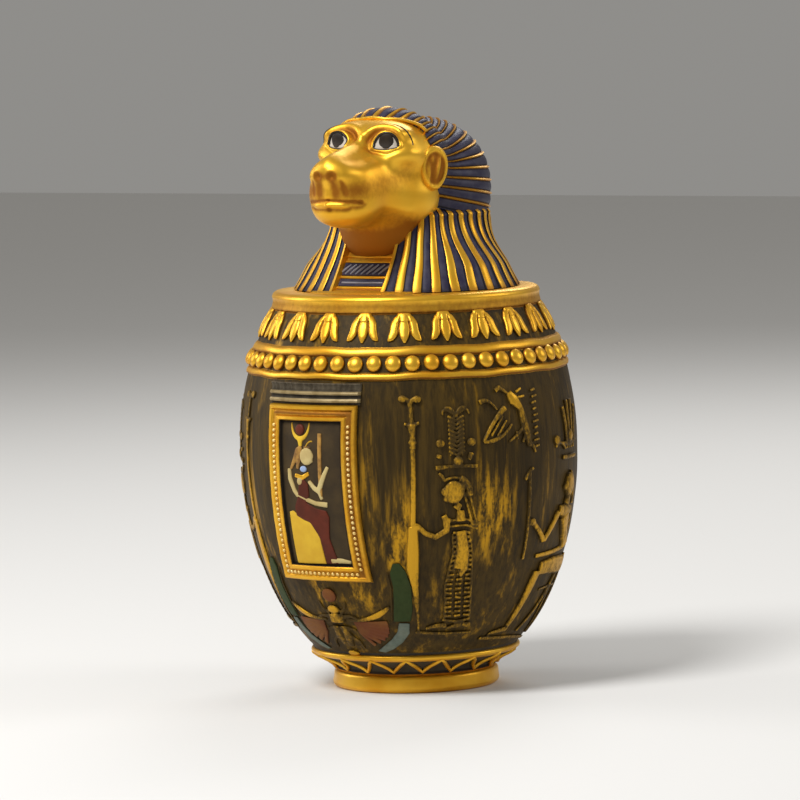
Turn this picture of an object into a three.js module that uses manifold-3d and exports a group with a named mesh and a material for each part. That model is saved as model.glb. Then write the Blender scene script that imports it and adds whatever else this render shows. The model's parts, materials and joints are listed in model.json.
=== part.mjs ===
// Canopic jar with a baboon-headed lid, a souvenir cast in resin. Two castings: a hollow jar, and a solid
// lid that rests on the jar's rim and drops a short plug into its mouth.
// Millimetres, +Z up. The origin is the centre of the jar's flat underside, and the jar's front is -Y.
import * as THREE from 'three';
import { mergeVertices } from 'three/addons/utils/BufferGeometryUtils.js';
import Module from 'manifold-3d';

const wasm = await Module();
wasm.setup();

// Driving sizes of the jar
const jar = {
  height: 137, // top of the rim
  bellyRadius: 58.2,
  bellyHeight: 84, // where the belly is widest
  wall: 5,
  floor: 7,
  footRadius: 28.7,
  footHeight: 6.2,
  baseRidge: { height: 13.1, radius: 36.3, size: 1.7 }, // the gold line above the foot
  bodyBottom: 15, // where the belly starts
  footPetals: 18,
  rimRadius: 46.6,
  rimHeight: 6,
  mouthRadius: 36,
};
// How far the belly's profile falls in above and below its widest level, as arcs of two ellipses
const shoulderArc = { depth: 32.5, reach: 60 };
const lowerArc = { depth: 45, reach: 80 };

// Bands under the rim: two gold lines with a row of beads between them, and hanging lotus flowers above
const band = {
  lowerLine: 110.6,
  upperLine: 119.2,
  lineWidth: 2.6,
  lineProud: 0.9,
  beads: 52,
  beadStart: 2.6, // degrees from the front to the first bead
  beadRadius: 2.6,
  beadProud: 1.7,
  flowers: 22,
  flowerStart: 1.9,
  flowerHeight: 9.2,
  flowerWidth: 11.2,
  flowerProud: 1.3,
};

// The framed picture on the jar's front, with a cornice over it
const panel = {
  width: 36,
  bottom: 41,
  top: 101.3,
  border: 5.6,
  topBorder: 6.2,
  proud: 1.9,
  corniceBars: [103.2, 106],
  corniceTop: 108.6,
};
const relief = 1.1; // how far an ordinary figure stands out of the wall
const sink = 1.8; // how far every relief is rooted in the wall

// Figures: angles are measured round the jar from the front, heights up from the underside
const standing = { angle: 51, foot: 23, height: 79, staffAngle: 36 };
const seated = { angle: 98, foot: 19.5, height: 81, staffAngle: 80.5 };
const bee = { angle: 71, height: 96, size: 23 };
const scarab = { height: 25.5, size: 21 };

// Driving sizes of the lid
const seatGap = 0.3; // the lid's shoulder over the rim
const plugClearance = 0.6;
const lid = {
  turn: 4.5, // degrees, as the loose lid stands in the jar
  plugDepth: 6.5,
  skirtRadius: 39.4,
  frontReach: 33.5,
  backReach: 37.5,
  waistRadius: 29.4,
  waistFront: 19,
  waistHeight: 27.5, // above the seat
  neckRise: 6, // from the waist up to the top of the skirt, inside the hood
  lappetGap: 9.6, // half the width of the collar between the lappets
  collarDepth: 3,
  collarLines: [[0.6, 1.8], [3.4, 4.6], [5.4, 8.2], [9.2, 10.2]], // heights of the collar's raised lines
  lineProud: 1.1,
  flutes: 36,
  fluteDepth: 0.45,
};
const lidSeat = jar.height + seatGap;
// Both forms are blended from eggs, each given by its side, forward and height positions and its three
// half sizes, with heights above the seat.
const hoodForms = [
  { at: [0, -10, 36], size: [25.6, 25.2, 22.4] }, // back of the wig
  { at: [0, 9, 42.5], size: [22.5, 17, 21] }, // crown
  { at: [0, -7, 28], size: [26.5, 25.5, 24] }, // down to the lappets
];
const hoodTrim = {
  edge: 27, // height of the lower edge on the jar's axis
  edgeFall: 0.22, // and how fast it falls to the back
  front: 8, // how far forward the hood reaches at the ears
  frontHeight: 39,
  frontLean: 0.6, // and how fast that grows upwards
  fluteDepth: 0.3,
};
const headForms = [
  { at: [0, 11, 45.2], size: [20.3, 18.6, 14.2] }, // skull
  { at: [8, 23, 52], size: [8, 5.5, 4.2] }, // brows
  { at: [-8, 23, 52], size: [8, 5.5, 4.2] },
  { at: [0, 13, 32], size: [20.5, 19, 16] }, // cheeks and jaw
  { at: [0, 28, 35], size: [14, 17.5, 13.5] }, // muzzle
  { at: [0, 39, 33], size: [11.8, 10, 12] }, // and its blunt end
  { at: [0, 45.5, 42.2], size: [5.4, 5, 3.4] }, // nose
  { at: [0, 37, 26.5], size: [9.5, 8.8, 4.6] }, // chin
  { at: [12.5, 21, 46], size: [6.5, 6.5, 3.4] }, // cheekbones
  { at: [-12.5, 21, 46], size: [6.5, 6.5, 3.4] },
  { at: [0, 10, 12], size: [12.5, 12.5, 17] }, // throat
];
const blend = 4;
// The brows, as angles aside and upwards from inside the head
const brow = { angles: [[9, 48], [32, 56], [62, 49]], radius: 1.2 };
const eye = { aside: 34, slope: 43, sunk: [2, 2.4, 1.6], size: [4.8, 4.2, 3.6] };
const ear = { at: [20.3, 12, 41.2], size: [3.4, 4.9, 7.2] };
const skinColours = {
  gold: { color: 0xc98f1e, roughness: 0.35, metalness: 0.6 },
  bronze: { color: 0x4a3818, roughness: 0.55, metalness: 0.3 },
};

// Solids

function solidOf(geometry) {
  const bare = geometry.clone();
  bare.deleteAttribute('normal');
  bare.deleteAttribute('uv');
  const merged = mergeVertices(bare, 1e-4);
  return new wasm.Manifold(new wasm.Mesh({
    numProp: 3,
    vertProperties: new Float32Array(merged.attributes.position.array),
    triVerts: new Uint32Array(merged.index.array),
  }));
}

function geometryOf(solid) {
  const mesh = solid.getMesh();
  const geometry = new THREE.BufferGeometry();
  geometry.setAttribute('position', new THREE.BufferAttribute(mesh.vertProperties, 3));
  geometry.setIndex(new THREE.BufferAttribute(mesh.triVerts, 1));
  geometry.computeVertexNormals();
  return geometry;
}

function joined(solids) {
  return wasm.Manifold.union(solids);
}

function lathe(profile, segments) {
  const points = profile.map(([r, z]) => new THREE.Vector2(r, z));
  const geometry = new THREE.LatheGeometry(points, segments);
  geometry.rotateX(Math.PI / 2);
  return solidOf(geometry);
}

// The jar's wall

function wallRadius(z) {
  const arc = z > jar.bellyHeight ? shoulderArc : lowerArc;
  const share = Math.min(1, Math.abs(z - jar.bellyHeight) / arc.reach);
  return jar.bellyRadius - arc.depth * (1 - Math.sqrt(1 - share * share));
}

function levels(from, to, steps) {
  return Array.from({ length: steps + 1 }, (_, i) => from + (to - from) * i / steps);
}

function wallPoints(from, to, steps, inset = 0) {
  return levels(from, to, steps).map((z) => [wallRadius(z) - inset, z]);
}

function linePoints(middle) {
  const half = band.lineWidth / 2;
  const crown = half * 0.45;
  return [
    [wallRadius(middle - half), middle - half],
    [wallRadius(middle - crown) + band.lineProud, middle - crown],
    [wallRadius(middle + crown) + band.lineProud, middle + crown],
    [wallRadius(middle + half), middle + half],
  ];
}

function outerProfile() {
  const foot = jar.footRadius;
  const ridge = jar.baseRidge;
  const rimBottom = jar.height - jar.rimHeight;
  const halfLine = band.lineWidth / 2;
  const neck = foot - 0.7;
  const neckHeight = jar.footHeight + 1.2;
  return [
    [0, 0],
    [foot - 2, 0],
    [foot, jar.footHeight * 0.3],
    [foot - 0.2, jar.footHeight * 0.75],
    [neck, neckHeight],
    [ridge.radius - 0.8, ridge.height - ridge.size / 2],
    [ridge.radius, ridge.height],
    [ridge.radius - 0.5, ridge.height + ridge.size / 2],
    ...wallPoints(jar.bodyBottom, band.lowerLine - halfLine - 3, 6),
    ...linePoints(band.lowerLine),
    ...linePoints(band.upperLine),
    [wallRadius(rimBottom), rimBottom],
    [jar.rimRadius, rimBottom + 0.9],
    [jar.rimRadius, jar.height - 1.8],
    [jar.rimRadius - 1.8, jar.height],
    [0, jar.height],
  ];
}

function cavityProfile() {
  const neckBottom = jar.height - 2 * jar.rimHeight;
  const lowest = jar.floor + 4;
  return [
    [0, jar.floor],
    [wallRadius(lowest) - jar.wall - 6, jar.floor],
    ...wallPoints(lowest, neckBottom - 8, 5, jar.wall),
    [jar.mouthRadius, neckBottom],
    [jar.mouthRadius, jar.height + 1],
    [0, jar.height + 1],
  ];
}

// Relief on the wall. A point of a relief is [u, z]: u millimetres along the wall from the angle `at`.

function onWall(geometry, at, direction = 1) {
  const position = geometry.attributes.position;
  for (let i = 0; i < position.count; i += 1) {
    const [u, z, out] = [position.getX(i), position.getY(i), position.getZ(i)];
    const angle = THREE.MathUtils.degToRad(at * direction) + direction * u / wallRadius(z);
    const r = wallRadius(z) + out;
    position.setXYZ(i, r * Math.sin(angle), -r * Math.cos(angle), z);
  }
  const solid = solidOf(direction > 0 ? geometry : flipped(geometry));
  return solid;
}

function flipped(geometry) {
  const plain = geometry.index ? geometry.toNonIndexed() : geometry;
  const p = plain.attributes.position;
  for (let i = 0; i < p.count; i += 3) {
    const [x, y, z] = [p.getX(i), p.getY(i), p.getZ(i)];
    p.setXYZ(i, p.getX(i + 1), p.getY(i + 1), p.getZ(i + 1));
    p.setXYZ(i + 1, x, y, z);
  }
  return plain;
}

// A flat plate with square edges
function plate(outline, proud) {
  const shape = new THREE.Shape(outline.map(([u, z]) => new THREE.Vector2(u, z)));
  const geometry = new THREE.ExtrudeGeometry(shape, { depth: proud + sink, bevelEnabled: false });
  geometry.translate(0, 0, -sink);
  return geometry;
}

// A straight bar, cut into pieces short enough to follow the wall
function bar(u0, u1, z0, z1, proud) {
  const across = Math.max(1, Math.round((u1 - u0) / 10));
  const up = Math.max(1, Math.round((z1 - z0) / 16));
  const geometry = new THREE.BoxGeometry(u1 - u0, z1 - z0, proud + sink, across, up, 1);
  geometry.translate((u0 + u1) / 2, (z0 + z1) / 2, (proud - sink) / 2);
  return geometry;
}

// A limb: a flat-topped ridge through points with a width at each, cut into pieces short enough
// to follow the wall
function limb(corners, widths, proud = relief) {
  const stops = corners.map(([u, z], i) => [u, z, Array.isArray(widths) ? widths[i] : widths]);
  const points = stops.slice(1).flatMap((stop, i) => {
    const steps = Math.max(1, Math.round(Math.hypot(stop[0] - stops[i][0], stop[1] - stops[i][1]) / 13));
    return levels(0, 1, steps).slice(1).map((t) => stop.map((v, k) => stops[i][k] + (v - stops[i][k]) * t));
  });
  points.unshift(stops[0]);
  const vertices = [];
  const indices = [];
  points.forEach(([u, z, width], i) => {
    const [a, b] = [points[Math.max(0, i - 1)], points[Math.min(points.length - 1, i + 1)]];
    const length = Math.hypot(b[0] - a[0], b[1] - a[1]);
    const [nu, nz] = [-(b[1] - a[1]) / length * width / 2, (b[0] - a[0]) / length * width / 2];
    const corner = (side, out) => vertices.push(u + nu * side, z + nz * side, out);
    corner(1.15, -sink);
    corner(0.6, proud);
    corner(-0.6, proud);
    corner(-1.15, -sink);
  });
  for (let i = 0; i < 4 * (points.length - 1); i += 4) {
    for (let k = 0; k < 4; k += 1) {
      const n = (k + 1) % 4;
      indices.push(i + k, i + n, i + k + 4, i + n, i + n + 4, i + k + 4);
    }
  }
  const last = 4 * (points.length - 1);
  indices.push(0, 2, 1, 0, 3, 2, last, last + 1, last + 2, last, last + 2, last + 3);
  const geometry = new THREE.BufferGeometry();
  geometry.setAttribute('position', new THREE.Float32BufferAttribute(vertices, 3));
  geometry.setIndex(indices);
  return geometry.toNonIndexed();
}

// A low round boss
function boss([u, z], radiusU, radiusZ = radiusU, proud = relief, sides = 6) {
  const geometry = new THREE.CylinderGeometry(0.5, 1.2, proud + sink, sides);
  geometry.rotateX(Math.PI / 2);
  geometry.scale(radiusU, radiusZ, 1);
  geometry.translate(u, z, (proud - sink) / 2);
  return geometry;
}

function around(count, start, make) {
  return Array.from({ length: count }, (_, i) => make(start + 360 * i / count));
}

function lotusFlower() {
  const bottom = band.upperLine + band.lineWidth / 2 + 0.6;
  const half = band.flowerWidth / 2;
  const at = (share) => bottom + band.flowerHeight * share;
  const outline = [
    [-half * 0.34, at(1)], [-half, at(0.1)], [0, at(0)], [half, at(0.1)], [half * 0.34, at(1)],
  ];
  return plate(outline, band.flowerProud);
}

function bead(angle) {
  const geometry = new THREE.SphereGeometry(1, 4, 2);
  geometry.rotateX(Math.PI / 2);
  geometry.scale(band.beadRadius, band.beadRadius, band.beadProud);
  geometry.translate(0, (band.lowerLine + band.upperLine) / 2, 0);
  return onWall(geometry, angle);
}

function footPetals() {
  const [low, high] = [jar.footHeight + 1, jar.baseRidge.height];
  const columns = jar.footPetals * 2;
  return stack(2, columns, (i, j) => {
    const angle = 2 * Math.PI * i / columns;
    const base = i % 2 ? jar.footRadius - 3 : jar.footRadius + 0.6;
    const r = j ? jar.baseRidge.radius - 1 : base;
    return [r * Math.sin(angle), -r * Math.cos(angle), j ? high : low];
  });
}

// Each figure is a list of reliefs drawn about u = 0, in shares of its own height

function standingFigure() {
  const { foot, height } = standing;
  const p = (u, z) => [u * height, foot + z * height];
  const w = (share) => share * height;
  return [
    limb([p(0.02, 0.03), p(0.01, 0.3), p(0.03, 0.5)], [w(0.15), w(0.15), w(0.13)]), // gown
    limb([p(0.03, 0.49), p(0, 0.58)], [w(0.12), w(0.06)]), // breast
    boss(p(-0.035, 0.605), w(0.045), w(0.04)), // head
    limb([p(0, 0.645), p(0.045, 0.6), p(0.085, 0.49)], [w(0.06), w(0.06), w(0.05)]), // wig
    limb([p(0, 0.49), p(-0.09, 0.42), p(-0.19, 0.46)], [w(0.05), w(0.04), w(0.03)]), // arm
    limb([p(-0.08, 0.71), p(0.09, 0.71)], w(0.025)), // horns of the crown
    limb([p(0, 0.71), p(0, 0.95)], [w(0.05), w(0.075)]), // plumes
    boss(p(-0.035, 0.965), w(0.04), w(0.03)),
    boss(p(0.035, 0.965), w(0.04), w(0.03)),
    boss(p(-0.085, 0.81), w(0.022), w(0.03)),
    boss(p(0.085, 0.81), w(0.022), w(0.03)),
    limb([p(-0.14, 0.01), p(0.14, 0.01)], w(0.025)), // ground line
  ];
}

function staff(low, high) {
  return [
    limb([[0, low], [0, high]], [1.4, 2.6]),
    limb([[-2.6, high - 8], [2.6, high - 8]], 1.6),
  ];
}

function seatedFigure() {
  const { foot, height } = seated;
  const p = (u, z) => [u * height, foot + z * height];
  const w = (share) => share * height;
  return [
    limb([p(-0.3, 0.01), p(0.34, 0.01)], w(0.022)), // ground line
    limb([p(-0.22, 0.03), p(-0.15, 0.34)], [w(0.05), w(0.06)]), // shin
    limb([p(-0.17, 0.34), p(0.08, 0.36)], [w(0.07), w(0.1)]), // thigh
    limb([p(0.08, 0.33), p(0.07, 0.54)], [w(0.11), w(0.14)]), // body
    boss(p(0.045, 0.64), w(0.048), w(0.045)), // head
    limb([p(0.07, 0.69), p(0.11, 0.63), p(0.13, 0.54)], [w(0.05), w(0.06), w(0.05)]), // wig
    limb([p(0.02, 0.54), p(-0.09, 0.4), p(-0.2, 0.5)], [w(0.05), w(0.045), w(0.03)]), // arm
    limb([p(-0.02, 0.74), p(0.14, 0.74)], w(0.025)), // crown
    limb([p(0.06, 0.74), p(0.06, 0.98)], [w(0.09), w(0.14)]),
    bar(w(0.01), w(0.21), foot + w(0.01), foot + w(0.29), relief * 0.8), // throne
    limb([p(-0.29, 0.035), p(-0.2, 0.04)], [w(0.02), w(0.04)]), // foot
  ];
}

function beeSign() {
  const p = (u, z) => [u * bee.size, bee.height + z * bee.size];
  const w = (share) => share * bee.size;
  return [
    limb([p(-0.1, 0.12), p(-0.36, -0.28)], [w(0.06), w(0.2)]), // wing
    limb([p(0, 0.1), p(-0.02, -0.36)], [w(0.06), w(0.16)]),
    boss(p(0.02, 0.2), w(0.12), w(0.12)), // body
    limb([p(0.06, 0.18), p(0.3, -0.1), p(0.36, -0.34)], [w(0.12), w(0.1), w(0.05)]),
    limb([p(-0.06, 0.26), p(-0.26, 0.3)], w(0.06)), // feelers
    limb([p(-0.16, 0.06), p(-0.34, 0.1), p(-0.46, 0.04)], w(0.05)),
    limb([p(0.14, 0.26), p(0.34, 0.3)], w(0.07)),
  ];
}

function scarabAndWings() {
  const { height, size } = scarab;
  const p = (u, z) => [u * size, height + z * size];
  const w = (share) => share * size;
  const wing = [p(0.1, 0.02), p(0.42, -0.34), p(0.72, -0.1), p(0.82, 0.42), p(0.66, 1.06)];
  const widths = [w(0.24), w(0.4), w(0.4), w(0.34), w(0.1)];
  const mirrored = wing.map(([u, z]) => [-u, z]).reverse();
  return [
    boss(p(0, -0.12), w(0.2), w(0.27), relief * 1.5), // body
    boss(p(0, 0.16), w(0.13), w(0.09), relief * 1.3),
    boss(p(0, 0.5), w(0.16), w(0.16), relief), // disc
    limb(wing, widths),
    limb(mirrored, [...widths].reverse()),
    limb([p(-0.2, -0.45), p(0.2, -0.45)], [w(0.12), w(0.12)]),
  ];
}

// The seated goddess in the frame, in millimetres from the panel's lower left inside corner
function goddess() {
  const floor = panel.bottom + panel.border;
  const height = panel.top - panel.topBorder - floor;
  const p = (u, z) => [u * height, floor + z * height];
  const w = (share) => share * height;
  return [
    limb([p(-0.19, 0.02), p(-0.21, 0.19), p(-0.21, 0.36)], [w(0.1), w(0.1), w(0.03)]), // back of the throne
    bar(...[-0.2, -0.03].map((s) => s * height), floor, floor + 0.31 * height, relief), // throne
    limb([p(-0.13, 0.36), p(0, 0.29), p(0.06, 0.02)], [w(0.12), w(0.12), w(0.1)]), // lap and skirt
    limb([p(-0.13, 0.36), p(-0.12, 0.58)], [w(0.12), w(0.15)]), // body
    boss(p(-0.09, 0.74), w(0.06), w(0.062), relief * 1.3), // head
    limb([p(-0.14, 0.8), p(-0.17, 0.7), p(-0.17, 0.58)], [w(0.06), w(0.08), w(0.06)]), // wig
    limb([p(-0.2, 0.6), p(-0.17, 0.42), p(-0.01, 0.38)], [w(0.05), w(0.045), w(0.04)], relief * 1.4), // arms
    limb([p(-0.07, 0.55), p(0, 0.48), p(0.05, 0.63)], [w(0.05), w(0.05), w(0.03)], relief * 1.4),
    limb([p(0.01, 0.45), p(0.01, 0.92)], w(0.035)), // sceptre
    limb([p(-0.12, 0.83), p(-0.12, 0.89)], [w(0.05), w(0.03)]), // crown
    boss(p(-0.12, 0.94), w(0.055), w(0.055), relief),
    limb([p(0.04, 0.03), p(0.17, 0.02)], [w(0.05), w(0.03)]), // feet
  ];
}

function pictureFrame() {
  const half = panel.width / 2;
  const { bottom, top, border, topBorder, proud } = panel;
  const cornice = panel.corniceBars.map((z) => bar(-half, half, z - 0.7, z + 0.7, proud * 0.8));
  const crown = bar(-half - 0.8, half + 0.8, panel.corniceBars[1] + 0.7, panel.corniceTop, proud * 0.6);
  return [
    bar(-half, half, bottom, bottom + border, proud),
    bar(-half, half, top - topBorder, top, proud),
    bar(-half, -half + border, bottom + border, top - topBorder, proud),
    bar(half - border, half, bottom + border, top - topBorder, proud),
    ...cornice,
    crown,
  ];
}

function jarSolid() {
  const segments = 32;
  const both = (pieces, at) => pieces.flatMap((g) => [onWall(g.clone(), at), onWall(g.clone(), at, -1)]);
  const single = (pieces, at) => pieces.map((g) => onWall(g, at));
  const body = joined([
    lathe(outerProfile(), segments),
    ...around(band.beads, band.beadStart, bead),
    ...around(band.flowers, band.flowerStart, (angle) => onWall(lotusFlower(), angle)),
    footPetals(),
    ...single(pictureFrame(), 0),
    ...single(goddess(), 0),
    ...single(scarabAndWings(), 0),
    ...both(staff(standing.foot + 3, standing.foot + standing.height), standing.staffAngle),
    ...both(standingFigure(), standing.angle),
    ...single(beeSign(), bee.angle),
    ...single(staff(seated.foot + 4, seated.foot + seated.height * 0.74), seated.staffAngle),
    ...single(seatedFigure(), seated.angle),
  ]);
  return body.subtract(lathe(cavityProfile(), 20));
}

// The lid. F is the distance forward of the jar's axis, which is -Y.

function skirtRadius(angle, z) {
  const rise = Math.min(1, Math.max(0, (z - lidSeat) / lid.waistHeight));
  const ease = 1 - (1 - rise) ** 1.55;
  const mix = (low, high) => low + (high - low) * ease;
  const side = mix(lid.skirtRadius, lid.waistRadius);
  const front = mix(lid.frontReach, lid.waistFront);
  const back = mix(lid.backReach, lid.waistRadius);
  const reach = Math.cos(angle) > 0 ? front : back;
  return 1 / Math.hypot(Math.sin(angle) / side, Math.cos(angle) / reach);
}

// A closed stack of rings: ring(j) gives the points of level j
function stack(rows, columns, point) {
  const vertices = [];
  const indices = [];
  for (let j = 0; j < rows; j += 1) {
    for (let i = 0; i < columns; i += 1) vertices.push(...point(i, j));
  }
  for (let j = 0; j + 1 < rows; j += 1) {
    for (let i = 0; i < columns; i += 1) {
      const n = (i + 1) % columns;
      const [a, b, c, d] = [j * columns + i, j * columns + n, (j + 1) * columns + i, (j + 1) * columns + n];
      indices.push(a, b, c, b, d, c);
    }
  }
  const middle = (j) => {
    const ring = vertices.slice(j * columns * 3, (j + 1) * columns * 3);
    return [0, 1, 2].map((k) => ring.filter((_, n) => n % 3 === k).reduce((s, v) => s + v, 0) / columns);
  };
  const [bottom, top] = [rows * columns, rows * columns + 1];
  vertices.push(...middle(0), ...middle(rows - 1));
  for (let i = 0; i < columns; i += 1) {
    const n = (i + 1) % columns;
    indices.push(bottom, n, i, top, (rows - 1) * columns + i, (rows - 1) * columns + n);
  }
  const geometry = new THREE.BufferGeometry();
  geometry.setAttribute('position', new THREE.Float32BufferAttribute(vertices, 3));
  geometry.setIndex(indices);
  return solidOf(geometry);
}

function skirt() {
  const waist = lidSeat + lid.waistHeight;
  const heights = [...levels(lidSeat, waist, 2), waist + lid.neckRise];
  const columns = lid.flutes * 2;
  return stack(heights.length, columns, (i, j) => {
    const angle = 2 * Math.PI * (i + 1) / columns;
    const flute = i % 2 ? lid.fluteDepth : -lid.fluteDepth;
    const shoulder = j === heights.length - 1 ? 0.72 : 1;
    const r = (skirtRadius(angle, heights[j]) + flute) * shoulder;
    return [r * Math.sin(angle), -r * Math.cos(angle), heights[j]];
  });
}

function eggDistance(p, { at, size }) {
  const q = [p[0] - at[0], p[1] - at[1], p[2] - at[2]];
  const k0 = Math.hypot(q[0] / size[0], q[1] / size[1], q[2] / size[2]);
  const k1 = Math.hypot(q[0] / size[0] ** 2, q[1] / size[1] ** 2, q[2] / size[2] ** 2);
  return k1 < 1e-9 ? -Math.min(...size) : k0 * (k0 - 1) / k1;
}

function distanceTo(forms, p) {
  return forms.reduce((d, form) => {
    const e = eggDistance(p, form);
    const h = Math.max(blend - Math.abs(d - e), 0) / blend;
    return Math.min(d, e) - h * h * blend / 4;
  }, 1e3);
}

// The point where a ray leaves a blended form, searched inwards from far outside
function surfacePoint(forms, origin, direction) {
  const along = (t) => origin.map((o, k) => o + direction[k] * t);
  let outside = 60;
  while (outside > 1 && distanceTo(forms, along(outside - 1)) > 0) outside -= 1;
  let inside = outside - 1;
  for (let n = 0; n < 12; n += 1) {
    const middle = (inside + outside) / 2;
    if (distanceTo(forms, along(middle)) > 0) outside = middle;
    else inside = middle;
  }
  return along(inside);
}

// The hood's flutes are combed back from the face to a point at the back of the head
function hoodSolid() {
  const columns = 40;
  const rows = 6;
  const centre = [0, -2, 36];
  const egg = stack(rows, columns, (i, j) => {
    const roll = 2 * Math.PI * i / columns;
    const from = THREE.MathUtils.degToRad(16 + (170 - 16) * j / (rows - 1));
    const direction = [-Math.sin(from) * Math.cos(roll), Math.cos(from), Math.sin(from) * Math.sin(roll)];
    const flute = i % 2 ? hoodTrim.fluteDepth : -hoodTrim.fluteDepth;
    const place = surfacePoint(hoodForms, centre, direction);
    const [x, forward, z] = place.map((v, k) => v + direction[k] * flute);
    return [x, -forward, lidSeat + z];
  });
  const { edge, edgeFall, front, frontHeight, frontLean } = hoodTrim;
  const lower = new THREE.Vector3(0, edgeFall, 1);
  const face = new THREE.Vector3(0, 1, frontLean);
  const facePlane = -front + frontLean * (frontHeight + lidSeat);
  return egg
    .trimByPlane(lower.toArray(), (lidSeat + edge) / lower.length())
    .trimByPlane(face.toArray(), facePlane / face.length());
}

function head() {
  const columns = 26;
  const [lowRows, domeRows] = [7, 7];
  const core = { forward: 12, bottom: 2, turn: 34 }; // rays leave an upright line, then its upper end
  return stack(lowRows + domeRows, columns, (i, j) => {
    const even = 2 * Math.PI * i / columns;
    const angle = even - 0.3 * Math.sin(even);
    const climb = j < lowRows ? 0 : Math.PI / 2 * 0.97 * (j - lowRows + 0.5) / domeRows;
    const height = j < lowRows ? core.bottom + (core.turn - core.bottom) * j / (lowRows - 0.5) : core.turn;
    const direction = [Math.sin(angle) * Math.cos(climb), Math.cos(angle) * Math.cos(climb), Math.sin(climb)];
    const origin = [0, core.forward, height];
    const [x, forward, z] = surfacePoint(headForms, origin, direction);
    return [x, -forward, lidSeat + z];
  });
}

function egg(at, size, columns = 8, rows = 5) {
  const geometry = new THREE.SphereGeometry(1, columns, rows);
  geometry.scale(size[0], size[1], size[2]);
  geometry.translate(at[0], -at[1], lidSeat + at[2]);
  return solidOf(geometry);
}

function tube(points, radius, sides = 5) {
  const places = points.map(([x, forward, z]) => new THREE.Vector3(x, -forward, lidSeat + z));
  const path = new THREE.CatmullRomCurve3(places);
  const section = new THREE.Shape(Array.from({ length: sides }, (_, i) => {
    const a = 2 * Math.PI * i / sides;
    return new THREE.Vector2(radius * Math.cos(a), radius * Math.sin(a));
  }));
  const geometry = new THREE.ExtrudeGeometry(section, { extrudePath: path, steps: 4, bevelEnabled: false });
  return solidOf(geometry);
}

// A point on the head, seen from inside it at an angle to its own side and at a slope upwards
function headPoint(aside, slope) {
  const [a, b] = [aside, slope].map(THREE.MathUtils.degToRad);
  const direction = [Math.sin(a) * Math.cos(b), Math.cos(a) * Math.cos(b), Math.sin(b)];
  return surfacePoint(headForms, [0, 12, 34], direction);
}

function features(side) {
  const line = brow.angles.map(([aside, slope]) => headPoint(side * aside, slope));
  return [
    egg(headPoint(side * eye.aside, eye.slope).map((v, k) => v - [side, 1, 1][k] * eye.sunk[k]), eye.size),
    tube(line, brow.radius),
    egg([side * ear.at[0], ear.at[1], ear.at[2]], ear.size),
  ];
}

function earHollow(side) {
  const [across, forward, height] = ear.at;
  const [thick, long, tall] = ear.size;
  const hollow = [thick * 0.56, long * 0.6, tall * 0.67];
  return egg([side * (across + thick), forward + long * 0.2, height], hollow, 7, 5);
}

// What is cut away between the lappets. Its inner face steps to leave the lines of the collar.
function collarGap() {
  const top = lid.waistHeight + lid.neckRise * 2 / 3;
  const lean = (lid.frontReach - lid.waistFront) / lid.waistHeight;
  const chest = (z, proud = 0) => lid.frontReach - lid.collarDepth - lean * 0.9 * z + proud;
  const steps = lid.collarLines.flatMap(([z0, z1]) => [
    [chest(z0), z0], [chest(z0, lid.lineProud), z0], [chest(z1, lid.lineProud), z1], [chest(z1), z1],
  ]);
  const low = -lid.collarDepth;
  const far = lid.skirtRadius * 1.5;
  const outline = [[chest(low), low], ...steps, [chest(top), top], [far, top], [far, low]];
  const shape = new THREE.Shape(outline.map(([forward, z]) => new THREE.Vector2(forward, z)));
  const geometry = new THREE.ExtrudeGeometry(shape, { depth: 2 * lid.lappetGap, bevelEnabled: false });
  geometry.translate(0, 0, -lid.lappetGap);
  const toFront = new THREE.Matrix4().set(0, 0, -1, 0, -1, 0, 0, 0, 0, 1, 0, lidSeat, 0, 0, 0, 1);
  geometry.applyMatrix4(toFront);
  return solidOf(geometry);
}

function lidSolid() {
  const plugRadius = jar.mouthRadius - plugClearance;
  const plug = lathe([
    [0, lidSeat - lid.plugDepth],
    [plugRadius - 0.8, lidSeat - lid.plugDepth],
    [plugRadius, lidSeat - lid.plugDepth + 0.8],
    [plugRadius, lidSeat],
    [lid.waistFront, lidSeat],
    [lid.waistFront * 0.8, lidSeat + lid.waistHeight + lid.neckRise],
    [0, lidSeat + lid.waistHeight + lid.neckRise * 1.6],
  ], 24);
  const wig = joined([skirt().subtract(collarGap()), hoodSolid()]);
  const whole = joined([wig, plug, head(), ...features(1), ...features(-1)]);
  return whole.subtract(joined([earHollow(1), earHollow(-1)]));
}

function piece(name, solid, look) {
  const mesh = new THREE.Mesh(geometryOf(solid), new THREE.MeshStandardMaterial(look));
  mesh.name = name;
  return mesh;
}

const group = new THREE.Group();
group.add(piece('jar', jarSolid(), skinColours.bronze));
const lidMesh = piece('lid', lidSolid(), skinColours.gold);
lidMesh.rotation.z = THREE.MathUtils.degToRad(lid.turn);
group.add(lidMesh);

export default group;
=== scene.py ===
import json
import math
import bpy
import numpy as np
from mathutils import Matrix, Vector

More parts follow.
